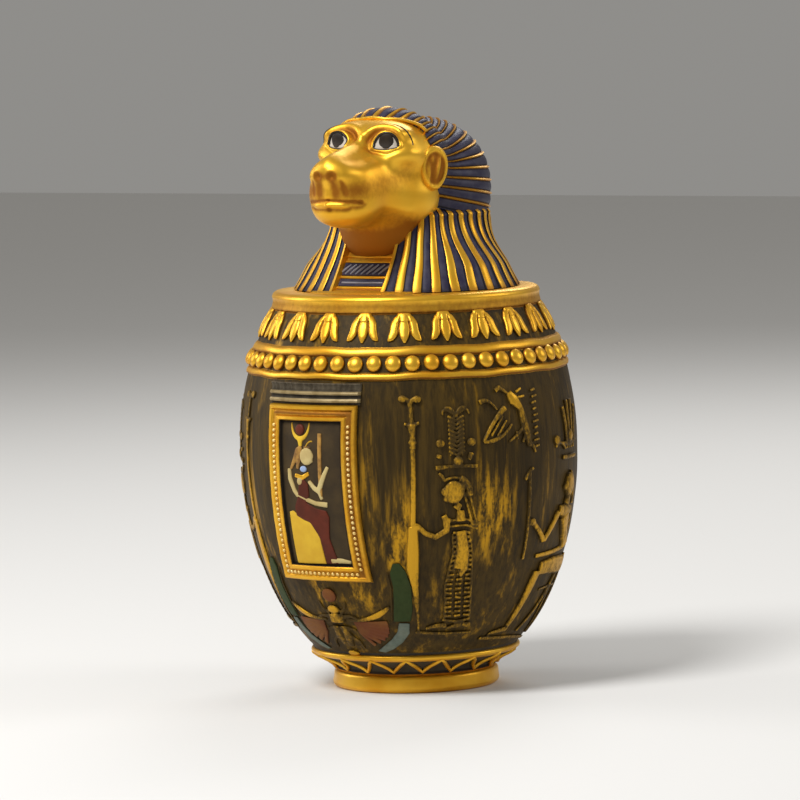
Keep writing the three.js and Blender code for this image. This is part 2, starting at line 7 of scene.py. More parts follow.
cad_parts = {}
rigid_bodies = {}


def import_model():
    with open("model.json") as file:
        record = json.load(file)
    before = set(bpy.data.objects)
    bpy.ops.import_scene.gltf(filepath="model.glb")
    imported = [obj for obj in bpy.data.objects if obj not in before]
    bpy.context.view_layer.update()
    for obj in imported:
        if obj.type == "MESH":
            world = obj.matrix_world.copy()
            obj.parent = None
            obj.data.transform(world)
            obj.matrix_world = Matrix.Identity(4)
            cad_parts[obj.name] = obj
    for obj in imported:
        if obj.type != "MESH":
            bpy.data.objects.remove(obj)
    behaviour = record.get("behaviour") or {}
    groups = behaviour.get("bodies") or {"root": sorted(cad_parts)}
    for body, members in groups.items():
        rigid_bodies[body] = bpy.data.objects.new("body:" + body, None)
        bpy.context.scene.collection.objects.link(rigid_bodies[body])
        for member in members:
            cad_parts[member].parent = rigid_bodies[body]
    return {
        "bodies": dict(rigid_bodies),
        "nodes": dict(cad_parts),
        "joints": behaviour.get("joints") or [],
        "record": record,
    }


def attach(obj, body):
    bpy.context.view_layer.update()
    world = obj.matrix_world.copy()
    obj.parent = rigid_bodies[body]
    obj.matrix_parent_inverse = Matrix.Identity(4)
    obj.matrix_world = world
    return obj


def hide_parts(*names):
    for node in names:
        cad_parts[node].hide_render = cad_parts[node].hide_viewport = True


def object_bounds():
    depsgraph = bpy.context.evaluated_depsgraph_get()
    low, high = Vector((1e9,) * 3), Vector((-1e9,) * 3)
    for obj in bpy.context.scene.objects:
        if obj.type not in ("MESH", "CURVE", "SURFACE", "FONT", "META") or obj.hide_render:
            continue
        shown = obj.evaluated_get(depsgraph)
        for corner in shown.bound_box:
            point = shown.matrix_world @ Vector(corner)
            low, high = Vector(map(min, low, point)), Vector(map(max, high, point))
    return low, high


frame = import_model()
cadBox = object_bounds()
mm = 0.001

# the camera stands at the photograph's place, worked out from the rings of the bands, rim and foot
camera = {
    "azimuth": 35.5,  # degrees round from the jar's front
    "distance": 1900 * mm,
    "height": 256 * mm,
    "aimHeight": 100 * mm,
    "frameWidth": 275.4 * mm,  # what the picture is wide at the jar's axis
    "roll": 1.6,
    "shift": (-0.0104, -0.0069),
}

jar = {
    "height": 137,
    "bellyRadius": 58.2,
    "bellyHeight": 84,
    "wall": 5,
    "floor": 7,
    "footRadius": 28.7,
    "ridgeHeight": 13.1,
    "ridgeRadius": 36.3,
    "bodyBottom": 15,
    "rimRadius": 46.6,
    "rimBottom": 131,
    "mouthRadius": 36,
}
band = {
    "lines": [(110.6, 2.6), (118.6, 3.2)],  # height and width of the two raised lines
    "proud": 0.9,
}
lid = {
    "turn": 4.5,  # degrees the loose lid is turned on the jar
    "seat": 137.3,
    "plugDepth": 6.5,
    "plugRadius": 35.4,
}


def pick(*objects):
    bpy.ops.object.select_all(action="DESELECT")
    for obj in objects:
        obj.select_set(True)
    bpy.context.view_layer.objects.active = objects[0]


def named(name):  # names the primitive that was just added
    obj = bpy.context.object
    obj.name = name
    obj.data.name = name
    return obj


def joined(parts, name):
    pick(*parts)
    if len(parts) > 1:
        bpy.ops.object.join()
    return named(name)


def modified(obj, kind, **values):
    pick(obj)
    modifier = obj.modifiers.new(kind.title(), kind)
    for key, value in values.items():
        setattr(modifier, key, value)
    bpy.ops.object.modifier_apply(modifier=modifier.name)
    return obj


def edited(obj, *steps):  # runs edit-mode operators on the whole mesh
    pick(obj)
    bpy.ops.object.mode_set(mode="EDIT")
    bpy.ops.mesh.select_all(action="SELECT")
    for step in steps:
        step()
    bpy.ops.object.mode_set(mode="OBJECT")
    return obj


def faceOutwards():
    bpy.ops.mesh.normals_make_consistent(inside=False)


def pointsOf(obj):
    places = np.empty(len(obj.data.vertices) * 3)
    obj.data.vertices.foreach_get("co", places)
    return places.reshape(-1, 3)


def movePoints(obj, places):
    obj.data.vertices.foreach_set("co", np.asarray(places, dtype=float).ravel())
    obj.data.update()


def normalsOf(obj):
    normals = np.empty(len(obj.data.vertices) * 3)
    obj.data.vertex_normals.foreach_get("vector", normals)
    return normals.reshape(-1, 3)


def addShade(obj, name, values):  # a value for each point, which the materials read
    attribute = obj.data.attributes.get(name) or obj.data.attributes.new(name, "FLOAT", "POINT")
    attribute.data.foreach_set("value", np.asarray(values, dtype=float))


def zonesOf(obj):
    zones = np.empty(len(obj.data.polygons), dtype=np.int32)
    obj.data.polygons.foreach_get("material_index", zones)
    return zones


def smoothed(obj, angle=None):
    pick(obj)
    if angle is None:
        bpy.ops.object.shade_smooth()
    else:
        bpy.ops.object.shade_smooth_by_angle(angle=math.radians(angle))
    return obj


def finished(obj, node, slot, *materials):  # keeps which face takes which of the materials
    zones = zonesOf(obj)
    obj.data.materials.clear()
    for material in materials:
        obj.data.materials.append(material)
    obj.data.polygons.foreach_set("material_index", zones)
    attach(obj, "root")
    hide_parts(node)
    return obj


def insideBox(places):  # the highest relief keeps to the jar's measured width
    margin = 0.02 * mm
    return np.clip(places, np.array(cadBox[0]) + (margin, margin, 0), np.array(cadBox[1]) - margin)


def unit(vectors):
    return vectors / np.linalg.norm(vectors, axis=-1)[..., None]


def softStep(value, low, high):
    share = np.clip((value - low) / (high - low), 0, 1)
    return share * share * (3 - 2 * share)


def bump(value, centre, width):
    return np.exp(-((value - centre) / width) ** 2)


def tubeAlong(name, path, radii, sides=8):  # a round tube along points, its ends closed
    bpy.ops.curve.primitive_bezier_curve_add()
    obj = bpy.context.object
    obj.name = name
    obj.data.splines.clear()
    spline = obj.data.splines.new("POLY")
    spline.points.add(len(path) - 1)
    for point, place, radius in zip(spline.points, path, np.broadcast_to(radii, len(path))):
        point.co = (*place, 1)
        point.radius = radius
    obj.data.bevel_depth = 1
    obj.data.bevel_resolution = max(0, sides // 4 - 1)
    obj.data.use_fill_caps = True
    pick(obj)
    bpy.ops.object.convert(target="MESH")
    return named(name)


# Stage 1: camera, floor and light
def placeCamera():
    turn = math.radians(camera["azimuth"])
    reach = camera["distance"]
    place = Vector((reach * math.sin(turn), -reach * math.cos(turn), camera["height"]))
    aim = Vector((0, 0, camera["aimHeight"]))
    forward = (aim - place).normalized()
    right = forward.cross(Vector((0, 0, 1))).normalized()
    up = right.cross(forward)
    roll = math.radians(camera["roll"])
    right, up = right * math.cos(roll) - up * math.sin(roll), up * math.cos(roll) + right * math.sin(roll)
    bpy.ops.object.camera_add(location=place)
    obj = named("photoCamera")
    obj.matrix_world = Matrix((right, up, -forward)).transposed().to_4x4()
    obj.location = place
    obj.data.sensor_width = 36
    obj.data.lens = 36 * (aim - place).length / camera["frameWidth"]
    obj.data.shift_x, obj.data.shift_y = camera["shift"]
    obj.data.clip_start = 0.05
    obj.data.clip_end = 20
    bpy.context.scene.camera = obj


studio = {
    "floor": (0.78, 0.77, 0.75, 1),
    "world": (0.86, 0.84, 0.80, 1),
    "worldStrength": 0.32,
    # azimuth round the jar, height, distance and size in metres, and power in watts
    "lamps": [(-8, 1.05, 0.75, 0.42, 12.5), (-75, 0.5, 1.1, 0.6, 3.5), (125, 0.7, 1.1, 0.6, 3),
              (200, 0.9, 1.0, 0.6, 4)],
}


def makeStudio():
    bpy.ops.mesh.primitive_plane_add(size=6)
    floor = named("studioFloor")
    paint = bpy.data.materials.new("floorPaint")
    paint.use_nodes = True
    shader = paint.node_tree.nodes["Principled BSDF"]
    shader.inputs["Base Color"].default_value = studio["floor"]
    shader.inputs["Roughness"].default_value = 0.9
    floor.data.materials.append(paint)
    world = bpy.data.worlds.new("studioWorld")
    world.use_nodes = True
    world.node_tree.nodes["Background"].inputs["Color"].default_value = studio["world"]
    world.node_tree.nodes["Background"].inputs["Strength"].default_value = studio["worldStrength"]
    bpy.context.scene.world = world
    for azimuth, height, distance, size, power in studio["lamps"]:
        turn = math.radians(azimuth)
        place = Vector((distance * math.sin(turn), -distance * math.cos(turn), height))
        bpy.ops.object.light_add(type="AREA", location=place)
        lamp = bpy.context.object
        lamp.rotation_euler = (Vector((0, 0, 0.1)) - place).to_track_quat("-Z", "Y").to_euler()
        lamp.data.shape = "DISK"
        lamp.data.size = size
        lamp.data.energy = power


placeCamera()
makeStudio()
bpy.context.scene.view_settings.view_transform = "Standard"  # keeps the gold warm
print("stage 1: camera, floor and light")


# Stage 2: materials
def shaderGroup(name, inputs, outputs):
    group = bpy.data.node_groups.new(name, "ShaderNodeTree")
    for label, kind, value in inputs:
        socket = group.interface.new_socket(label, in_out="INPUT", socket_type=kind)
        socket.default_value = value
    for label, kind in outputs:
        group.interface.new_socket(label, in_out="OUTPUT", socket_type=kind)
    return group, group.nodes.new("NodeGroupInput"), group.nodes.new("NodeGroupOutput")


def node(tree, kind, inputs=None, **values):
    made = tree.nodes.new(kind)
    for key, value in values.items():
        setattr(made, key, value)
    for key, value in (inputs or {}).items():
        if isinstance(value, bpy.types.NodeSocket):
            tree.links.new(value, made.inputs[key])
        else:
            made.inputs[key].default_value = value
    return made


def sums(tree, operation, *values, clamp=False):
    made = tree.nodes.new("ShaderNodeMath")
    made.operation = operation
    made.use_clamp = clamp
    for slot, value in enumerate(values):
        if isinstance(value, bpy.types.NodeSocket):
            tree.links.new(value, made.inputs[slot])
        else:
            made.inputs[slot].default_value = value
    return made.outputs[0]


def blended(tree, share, first, second):
    made = tree.nodes.new("ShaderNodeMix")
    made.data_type = "RGBA"
    for slot, value in ((0, share), (6, first), (7, second)):
        if isinstance(value, bpy.types.NodeSocket):
            tree.links.new(value, made.inputs[slot])
        else:
            made.inputs[slot].default_value = value
    return made.outputs[2]


def stretchedNoise(tree, place, scale, stretch=(1, 1, 1), detail=4.0, roughness=0.55):
    mapped = node(tree, "ShaderNodeMapping", {"Vector": place, "Scale": stretch})
    noise = node(tree, "ShaderNodeTexNoise", {"Vector": mapped.outputs[0], "Scale": scale, "Detail": detail,
                                              "Roughness": roughness})
    return noise.outputs["Fac"]


def spread(tree, value, low, high):  # maps low to high onto 0 to 1, softly
    made = node(tree, "ShaderNodeMapRange", {"Value": value, "From Min": low, "From Max": high},
                interpolation_type="SMOOTHSTEP")
    return made.outputs["Result"]


# brush-painted colour: a main tone, a second tone in patches, and painted shade, darkening towards the shade
# tone where the point's shade value nears 1
def makeBrushPaint():
    group, given, result = shaderGroup(
        "brushPaint",
        [("Main", "NodeSocketColor", (1, 1, 1, 1)), ("Second", "NodeSocketColor", (1, 1, 1, 1)),
         ("Shade Tone", "NodeSocketColor", (0, 0, 0, 1)), ("Painted Shade", "NodeSocketFloat", 0.0),
         ("Patch Size", "NodeSocketFloat", 120.0), ("Gloss", "NodeSocketFloat", 0.4)],
        [("Color", "NodeSocketColor"), ("Roughness", "NodeSocketFloat"), ("Height", "NodeSocketFloat")])
    place = group.nodes.new("ShaderNodeTexCoord").outputs["Object"]
    patches = stretchedNoise(group, place, given.outputs["Patch Size"], detail=3)
    fine = stretchedNoise(group, place, 700.0, (1, 1, 0.8), detail=2)
    tone = blended(group, spread(group, patches, 0.35, 0.68), given.outputs["Main"], given.outputs["Second"])
    uneven = sums(group, "MULTIPLY_ADD", fine, 0.4, sums(group, "MULTIPLY", given.outputs["Painted Shade"], 1.15))
    shaded = spread(group, uneven, 0.3, 1.15)
    color = blended(group, shaded, tone, given.outputs["Shade Tone"])
    rough = sums(group, "ADD", given.outputs["Gloss"], sums(group, "MULTIPLY", patches, 0.16))
    rough = sums(group, "MULTIPLY_ADD", shaded, 0.25, rough)
    group.links.new(color, result.inputs["Color"])
    group.links.new(rough, result.inputs["Roughness"])
    group.links.new(sums(group, "MULTIPLY_ADD", fine, 0.35, patches), result.inputs["Height"])
    return group


# dry brushing: gold caught by what is raised and by upright streaks of the brush over a dark ground
def makeDryBrush():
    group, given, result = shaderGroup(
        "dryBrush",
        [("Raised", "NodeSocketFloat", 0.0), ("Streaks", "NodeSocketFloat", 0.5)],
        [("Gold", "NodeSocketFloat"), ("Height", "NodeSocketFloat")])
    place = group.nodes.new("ShaderNodeTexCoord").outputs["Object"]
    broad = stretchedNoise(group, place, 95.0, (1, 1, 0.10), detail=5, roughness=0.6)
    thin = stretchedNoise(group, place, 430.0, (1, 1, 0.09), detail=3, roughness=0.6)
    grain = stretchedNoise(group, place, 1300.0, (1, 1, 0.6), detail=2)
    region = stretchedNoise(group, place, 26.0, (1, 1, 0.6), detail=2)
    line = sums(group, "MULTIPLY_ADD", broad, 0.55, sums(group, "MULTIPLY", thin, 0.45))
    line = sums(group, "MULTIPLY_ADD", region, 0.12, line)
    reach = sums(group, "MULTIPLY_ADD", given.outputs["Streaks"], 0.34, line)
    broken = spread(group, sums(group, "MULTIPLY_ADD", grain, 0.35, thin), 0.52, 0.80)
    streak = sums(group, "MULTIPLY", spread(group, reach, 0.62, 0.90), broken)
    caught = sums(group, "MULTIPLY_ADD", grain, 0.7, sums(group, "MULTIPLY_ADD", thin, 0.6,
                                                          given.outputs["Raised"]))
    gold = sums(group, "MAXIMUM", streak, spread(group, caught, 0.92, 1.5), clamp=True)
    group.links.new(gold, result.inputs["Gold"])
    group.links.new(sums(group, "MULTIPLY_ADD", thin, 0.5, grain), result.inputs["Height"])
    return group


brushPaint = makeBrushPaint()
dryBrush = makeDryBrush()


def startMaterial(name):
    material = bpy.data.materials.new(name)
    material.use_nodes = True
    tree = material.node_tree
    return material, tree, tree.nodes["Principled BSDF"]


def addBump(tree, shader, height, strength, distance):
    bump = node(tree, "ShaderNodeBump", {"Height": height, "Strength": strength, "Distance": distance})
    tree.links.new(bump.outputs["Normal"], shader.inputs["Normal"])


def paintOf(name, main, second, shadeTone, metallic=0.0, gloss=0.4, patch=120.0, bump=0.15):
    material, tree, shader = startMaterial(name)
    # reads each point's painted shade value, which darkens the paint towards its shade tone
    paintedShade = node(tree, "ShaderNodeAttribute", attribute_name="paintedShade").outputs["Fac"]
    paint = node(tree, "ShaderNodeGroup", node_tree=brushPaint)
    for label, value in (("Main", main), ("Second", second), ("Shade Tone", shadeTone)):
        paint.inputs[label].default_value = (*value, 1)
    paint.inputs["Patch Size"].default_value = patch
    paint.inputs["Gloss"].default_value = gloss
    tree.links.new(paintedShade, paint.inputs["Painted Shade"])
    tree.links.new(paint.outputs["Color"], shader.inputs["Base Color"])
    tree.links.new(paint.outputs["Roughness"], shader.inputs["Roughness"])
    shader.inputs["Metallic"].default_value = metallic
    shader.inputs["Specular IOR Level"].default_value = 0.5 if metallic else 0.2
    addBump(tree, shader, paint.outputs["Height"], bump, 0.00035)
    return material


def dryBrushedOf(name, ground, second, gold):
    material, tree, shader = startMaterial(name)
    raised = node(tree, "ShaderNodeAttribute", attribute_name="raised").outputs["Fac"]
    place = node(tree, "ShaderNodeTexCoord").outputs["Object"]
    brush = node(tree, "ShaderNodeGroup", node_tree=dryBrush)
    tree.links.new(raised, brush.inputs["Raised"])
    streaked = node(tree, "ShaderNodeAttribute", attribute_name="streaks").outputs["Fac"]
    tree.links.new(streaked, brush.inputs["Streaks"])
    shader.inputs["Specular IOR Level"].default_value = 0.14
    patches = stretchedNoise(tree, place, 60.0, (1, 1, 0.3), detail=4)
    hairs = stretchedNoise(tree, place, 520.0, (1, 1, 0.06), detail=3, roughness=0.7)
    uneven = sums(tree, "MULTIPLY_ADD", hairs, 0.75, sums(tree, "MULTIPLY", patches, 0.4))
    base = blended(tree, spread(tree, uneven, 0.42, 0.72), (*second, 1), (*ground, 1))
    color = blended(tree, brush.outputs["Gold"], base, (*gold, 1))
    tree.links.new(color, shader.inputs["Base Color"])
    tree.links.new(sums(tree, "MULTIPLY", brush.outputs["Gold"], 0.7), shader.inputs["Metallic"])
    tree.links.new(sums(tree, "MULTIPLY_ADD", brush.outputs["Gold"], -0.16, 0.56), shader.inputs["Roughness"])
    addBump(tree, shader, brush.outputs["Height"], 0.25, 0.00025)
    return material


# each paint's third colour is the dark tone that its painted shade goes to
finish = {
    "gold": paintOf("goldPaint", (0.84, 0.47, 0.035), (0.74, 0.36, 0.015), (0.26, 0.10, 0.008),
                    metallic=0.75, gloss=0.30, patch=70, bump=0.12),
    "faceGold": paintOf("faceGold", (0.86, 0.49, 0.035), (0.80, 0.40, 0.018), (0.34, 0.12, 0.005),
                        metallic=0.75, gloss=0.32, patch=45, bump=0.05),
    "bronze": dryBrushedOf("bronzePaint", (0.066, 0.038, 0.006), (0.030, 0.018, 0.004), (0.52, 0.27, 0.016)),
    "brushed": dryBrushedOf("brushedRelief", (0.070, 0.040, 0.006), (0.044, 0.026, 0.005),
                            (0.60, 0.32, 0.022)),
    "inside": paintOf("insidePaint", (0.035, 0.028, 0.018), (0.05, 0.04, 0.025), (0.02, 0.015, 0.01),
                      gloss=0.55),
    "indigo": paintOf("indigoPaint", (0.026, 0.023, 0.052), (0.048, 0.045, 0.072), (0.007, 0.006, 0.009),
                      gloss=0.38, patch=320, bump=0.25),
    "green": paintOf("greenPaint", (0.030, 0.052, 0.008), (0.042, 0.060, 0.012), (0.014, 0.02, 0.004),
                     gloss=0.5),
    "greyBlue": paintOf("greyBluePaint", (0.15, 0.19, 0.155), (0.20, 0.23, 0.18), (0.05, 0.055, 0.035),
                        gloss=0.5),
    "rust": paintOf("rustPaint", (0.15, 0.040, 0.009), (0.20, 0.075, 0.012), (0.05, 0.015, 0.005),
                    gloss=0.48),
    "red": paintOf("redPaint", (0.12, 0.020, 0.007), (0.075, 0.014, 0.005), (0.03, 0.006, 0.003), gloss=0.46),
    "skin": paintOf("skinPaint", (0.58, 0.46, 0.20), (0.46, 0.34, 0.13), (0.22, 0.13, 0.04), gloss=0.45),
    "yellow": paintOf("yellowPaint", (0.72, 0.46, 0.03), (0.62, 0.36, 0.02), (0.30, 0.15, 0.01), gloss=0.4),
    "blue": paintOf("bluePaint", (0.36, 0.45, 0.66), (0.30, 0.40, 0.62), (0.1, 0.12, 0.2), gloss=0.35),
    "eyeWhite": paintOf("eyeWhitePaint", (0.56, 0.51, 0.44), (0.48, 0.42, 0.35), (0.3, 0.23, 0.16),
                        gloss=0.42),
    "iris": paintOf("irisPaint", (0.016, 0.012, 0.009), (0.032, 0.022, 0.014), (0.01, 0.008, 0.006),
                    gloss=0.5),
    "eyeBlack": paintOf("eyeBlackPaint", (0.016, 0.013, 0.010), (0.03, 0.024, 0.018), (0.005, 0.004, 0.003),
                        gloss=0.16),
    "paleGold": paintOf("paleGoldPaint", (0.86, 0.66, 0.27), (0.84, 0.56, 0.14), (0.35, 0.2, 0.05),
                        metallic=0.5, gloss=0.3),
    "panelGround": paintOf("panelGround", (0.036, 0.023, 0.010), (0.060, 0.038, 0.014),
                           (0.012, 0.008, 0.004), gloss=0.55),
    "corniceGrey": paintOf("cornicePaint", (0.10, 0.080, 0.052), (0.050, 0.038, 0.022),
                           (0.014, 0.010, 0.006), gloss=0.5, patch=300),
    "cornicePale": paintOf("cornicePalePaint", (0.34, 0.25, 0.11), (0.22, 0.15, 0.05), (0.06, 0.04, 0.015),
                           metallic=0.3, gloss=0.4, patch=300),
    "silver": paintOf("silverPaint", (0.30, 0.30, 0.34), (0.20, 0.20, 0.25), (0.05, 0.05, 0.07),
                      metallic=0.3, gloss=0.3),
    "hair": paintOf("hairPaint", (0.20, 0.10, 0.03), (0.45, 0.24, 0.05), (0.06, 0.03, 0.01), gloss=0.45,
                    patch=400),
}
print("stage 2: materials")


# Stage 3: the jar's shell. Its sizes are in millimetres until a piece is finished.
shoulderArc = {"depth": 32.5, "reach": 60}
lowerArc = {"depth": 45, "reach": 80}


def wallRadius(z):
    z = np.asarray(z, dtype=float)
    depth = np.where(z > jar["bellyHeight"], shoulderArc["depth"], lowerArc["depth"])
    reach = np.where(z > jar["bellyHeight"], shoulderArc["reach"], lowerArc["reach"])
    share = np.clip(np.abs(z - jar["bellyHeight"]) / reach, 0, 1)
    return jar["bellyRadius"] - depth * (1 - np.sqrt(1 - share * share))


def arc(centre, radii, start, end, steps):  # points round an ellipse, in degrees
    turns = np.radians(np.linspace(start, end, steps + 1))
    return [(centre[0] + radii[0] * math.cos(t), centre[1] + radii[1] * math.sin(t)) for t in turns]


def wallPoints(low, high, step=1.0):
    count = max(2, round((high - low) / step) + 1)
    return [(float(wallRadius(z)), float(z)) for z in np.linspace(low, high, count)]


def linePoints(middle, width):
    half = width / 2
    rows = np.linspace(-half, half, 9)
    return [(float(wallRadius(middle + h)) + band["proud"] * math.sqrt(max(0, 1 - (h / half) ** 2)),
             middle + float(h))
            for h in rows]


def offLine(z):  # how far a height is from the nearer line's edge, below 0 on the line
    return np.min([np.abs(z - middle) - width / 2 for middle, width in band["lines"]], axis=0)


def spun(name, profile, steps=224):  # spins a closed profile of radius and height round the axis
    bpy.ops.mesh.primitive_plane_add(size=1)
    obj = named(name)
    bpy.ops.object.mode_set(mode="EDIT")
    bpy.ops.mesh.merge(type="CENTER")
    bpy.ops.transform.translate(value=(profile[0][0], 0, profile[0][1]))
    for (r0, z0), (r1, z1) in zip(profile, profile[1:]):
        bpy.ops.mesh.extrude_vertices_move(TRANSFORM_OT_translate={"value": (r1 - r0, 0, z1 - z0)})
    bpy.ops.mesh.select_all(action="SELECT")
    bpy.ops.mesh.spin(steps=steps, angle=2 * math.pi, center=(0, 0, 0), axis=(0, 0, 1))
    bpy.ops.mesh.select_all(action="SELECT")
    bpy.ops.mesh.remove_doubles(threshold=0.002)
    bpy.ops.mesh.normals_make_consistent(inside=False)
    bpy.ops.object.mode_set(mode="OBJECT")
    return obj


def jarProfile():
    foot, ridge, rim = jar["footRadius"], jar["ridgeRadius"], jar["rimRadius"]
    neck = foot - 0.7
    (low, lowWidth), (high, highWidth) = band["lines"]
    outside = [(0, 0), (foot - 4, 0), (foot - 2, 0), *arc((foot - 2, 2), (2, 2), -75, 0, 5),
               (foot + 0.05, 3.4), *arc((foot - 1.6, 4.6), (1.6, 1.6), 0, 80, 4), (neck - 0.2, 6.6),
               (neck - 0.1, 7.2),
               *[(neck + (ridge - 1.2 - neck) * t ** 1.7, 7.2 + 4.6 * t) for t in np.linspace(0.15, 1, 7)],
               *arc((ridge - 0.9, jar["ridgeHeight"]), (0.95, 0.95), -80, 80, 7)]
    wall = [*wallPoints(jar["bodyBottom"], low - lowWidth / 2 - 0.2), *linePoints(low, lowWidth),
            *wallPoints(low + lowWidth / 2 + 0.2, high - highWidth / 2 - 0.2), *linePoints(high, highWidth),
            *wallPoints(high + highWidth / 2 + 0.2, jar["rimBottom"] - 0.3)]
    rimProfile = [(rim - 0.5, jar["rimBottom"]), (rim, jar["rimBottom"] + 0.5),
                  (rim - 0.1, jar["rimBottom"] + 1.1),
                  (rim - 0.45, jar["rimBottom"] + 2.4), (rim - 0.4, jar["rimBottom"] + 3.6),
                  *arc((rim - 2.2, jar["height"] - 2), (2.0, 2.0), 0, 90, 6),
                  (jar["mouthRadius"] + 1, jar["height"]), (jar["mouthRadius"] + 0.2, jar["height"] - 0.3),
                  (jar["mouthRadius"], jar["height"] - 1)]
    inside = [(jar["mouthRadius"], jar["height"] - 12),
              *[(r - jar["wall"], z) for r, z in wallPoints(11, jar["height"] - 20, 5)[::-1]],
              (float(wallRadius(11)) - jar["wall"] - 3, jar["floor"] + 0.6),
              (float(wallRadius(11)) - jar["wall"] - 6, jar["floor"]), (0, jar["floor"])]
    return outside + wall + rimProfile + inside


def unevenHand(obj):  # the slight waver of a hand-finished cast
    places = pointsOf(obj)
    turn = np.arctan2(places[:, 0], -places[:, 1])
    radius = np.hypot(places[:, 0], places[:, 1])
    z = places[:, 2]
    waver = 0.10 * np.sin(3 * turn + z * 0.05) + 0.07 * np.sin(7 * turn - z * 0.11)
    waver += 0.04 * np.sin(17 * turn + z * 0.3)
    outer = (radius > 27) & (z > 3)
    nearLine = sum(bump(z, middle, 4) for middle, _ in band["lines"])
    shift = 0.16 * np.sin(9 * turn + 1.3) + 0.12 * np.sin(21 * turn)
    scale = np.where(outer, 1 + (waver - 0.34) / np.maximum(radius, 1), 1)
    places[:, 0] *= scale
    places[:, 1] *= scale
    places[:, 2] += np.where(outer, shift * np.clip(nearLine, 0, 1), 0)
    movePoints(obj, places)


# where the brush left gold on the bare wall:
# angle round the jar, height, half width, half height and strength
streaks = [(33, 58, 3.0, 17, 0.8), (62, 66, 4.0, 15, 0.85), (69, 62, 3.4, 13, 0.55), (29, 50, 2.2, 9, 1.0),
           (-4, 37, 4, 5, 0.7), (16, 35, 6, 6, 0.55), (56, 48, 6, 8, 0.35), (88, 70, 5, 16, 0.45),
           (-33, 58, 4, 17, 0.6), (-62, 64, 5, 16, 0.7), (110, 60, 6, 20, 0.5), (-115, 60, 6, 20, 0.5),
           (150, 66, 8, 20, 0.5), (-160, 55, 8, 18, 0.5)]


def makeShell():
    obj = spun("jarShell", jarProfile())
    places = pointsOf(obj)
    z = places[:, 2]
    onLine = offLine(z) < 0.15
    raised = np.where(onLine, 1.0, 0.0)
    zone = []
    for face in obj.data.polygons:
        r, h = math.hypot(face.center.x, face.center.y), face.center.z
        lines = offLine(h) < 0
        onRim = h > jar["rimBottom"] - 0.2 and r > jar["mouthRadius"] - 0.6
        onFoot = h < 6.9 and r > 20 or abs(h - jar["ridgeHeight"]) < 1.2 and r > jar["ridgeRadius"] - 1.6
        hollow = r < wallRadius(max(h, 11)) - 2.5 and h > 6.5 or r <= jar["mouthRadius"]
        outside = r > 20
        gold = lines and r > 40 or onRim or onFoot and h < 16
        zone.append(1 if gold else 2 if hollow or not outside else 0)
    obj.data.polygons.foreach_set("material_index", zone)
    # painted shade under the rim and over its lower part, in the creases by the lines and at the foot, and
    # over each line's lower half
    corner = bump(z, jar["rimBottom"] - 0.4, 0.7) + 0.45 * bump(z, jar["rimBottom"] + 2.8, 1.2)
    corner += 0.7 * bump(offLine(z), 0, 0.5) + bump(z, 6.9, 0.6)
    addShade(obj, "raised", raised)
    for middle, width in band["lines"]:
        corner += 0.5 * softStep(middle - z, -0.2, 0.9) * (np.abs(z - middle) < width / 2 + 0.15)
    corner += 0.45 * softStep(z, jar["rimBottom"] + 3.2, jar["rimBottom"] + 0.6) * (z > jar["rimBottom"])
    addShade(obj, "paintedShade", np.clip(corner, 0, 1))
    turn = np.degrees(np.arctan2(places[:, 0], -places[:, 1]))
    brushed = np.full(len(places), 0.14)
    for angle, height, wide, tall, strength in streaks:
        across = (turn - angle + 180) % 360 - 180
        brushed += strength * bump(np.hypot(across * 0.95 / wide, (z - height) / tall), 0, 1)
    addShade(obj, "streaks", np.clip(brushed, 0, 1))
    unevenHand(obj)
    movePoints(obj, insideBox(pointsOf(obj) * mm))
    finished(obj, "jar", "painted_bronze", finish["bronze"], finish["gold"], finish["inside"])
    return smoothed(obj, 45)


makeShell()
print("stage 3: shell")


# Stage 4: relief. It is modelled flat, as (along the wall, height, out from the wall),
# and then wrapped round the jar.

relief = {
    "depth": 1.45,  # how far the boldest form stands out
    "leftShare": 0.5,  # the left and the back are shallower
    "root": -0.8,  # how deep a form is rooted in the wall
    "voxel": 0.34,
    "soften": 5,
}


def wrapped(places, angle, side=1):
    radius = wallRadius(places[:, 1])
    turn = side * (math.radians(angle) + places[:, 0] / radius)
    reach = radius + places[:, 2]
    return np.stack([reach * np.sin(turn), -reach * np.cos(turn), places[:, 1]], axis=1)


def jarFinished(obj, slot, *materials):
    movePoints(obj, insideBox(pointsOf(obj) * mm))
    edited(obj, faceOutwards)
    return finished(obj, "jar", slot, *materials)


def lines(*strokes):  # round strokes, each its points and one width or a width for each point
    bpy.ops.curve.primitive_bezier_curve_add()
    obj = bpy.context.object
    obj.data.splines.clear()
    for path, width in strokes:
        spline = obj.data.splines.new("POLY")
        spline.points.add(len(path) - 1)
        for point, place, wide in zip(spline.points, path, np.broadcast_to(width, len(path))):
            point.co = (place[0], place[1], 0, 1)
            point.radius = wide / 2
    obj.data.bevel_depth = 1
    obj.data.bevel_resolution = 2
    obj.data.use_fill_caps = True
    pick(obj)
    bpy.ops.object.convert(target="MESH")
    return bpy.context.object


def ball(place, radius, tall=None):
    bpy.ops.mesh.primitive_uv_sphere_add(segments=20, ring_count=12, radius=1, location=(*place, 0),
                                         scale=(radius, tall or radius, radius))
    bpy.ops.object.transform_apply(location=True, rotation=True, scale=True)
    return bpy.context.object


def slab(outline, height):  # a flat shape standing `height` out
    bpy.ops.mesh.primitive_circle_add(vertices=len(outline), fill_type="NGON")
    obj = bpy.context.object
    movePoints(obj, [(u, z, -1) for u, z in outline])
    edited(obj, lambda: bpy.ops.mesh.extrude_region_move(
        TRANSFORM_OT_translate={"value": (0, 0, 1 + height)}))
    return edited(obj, faceOutwards)


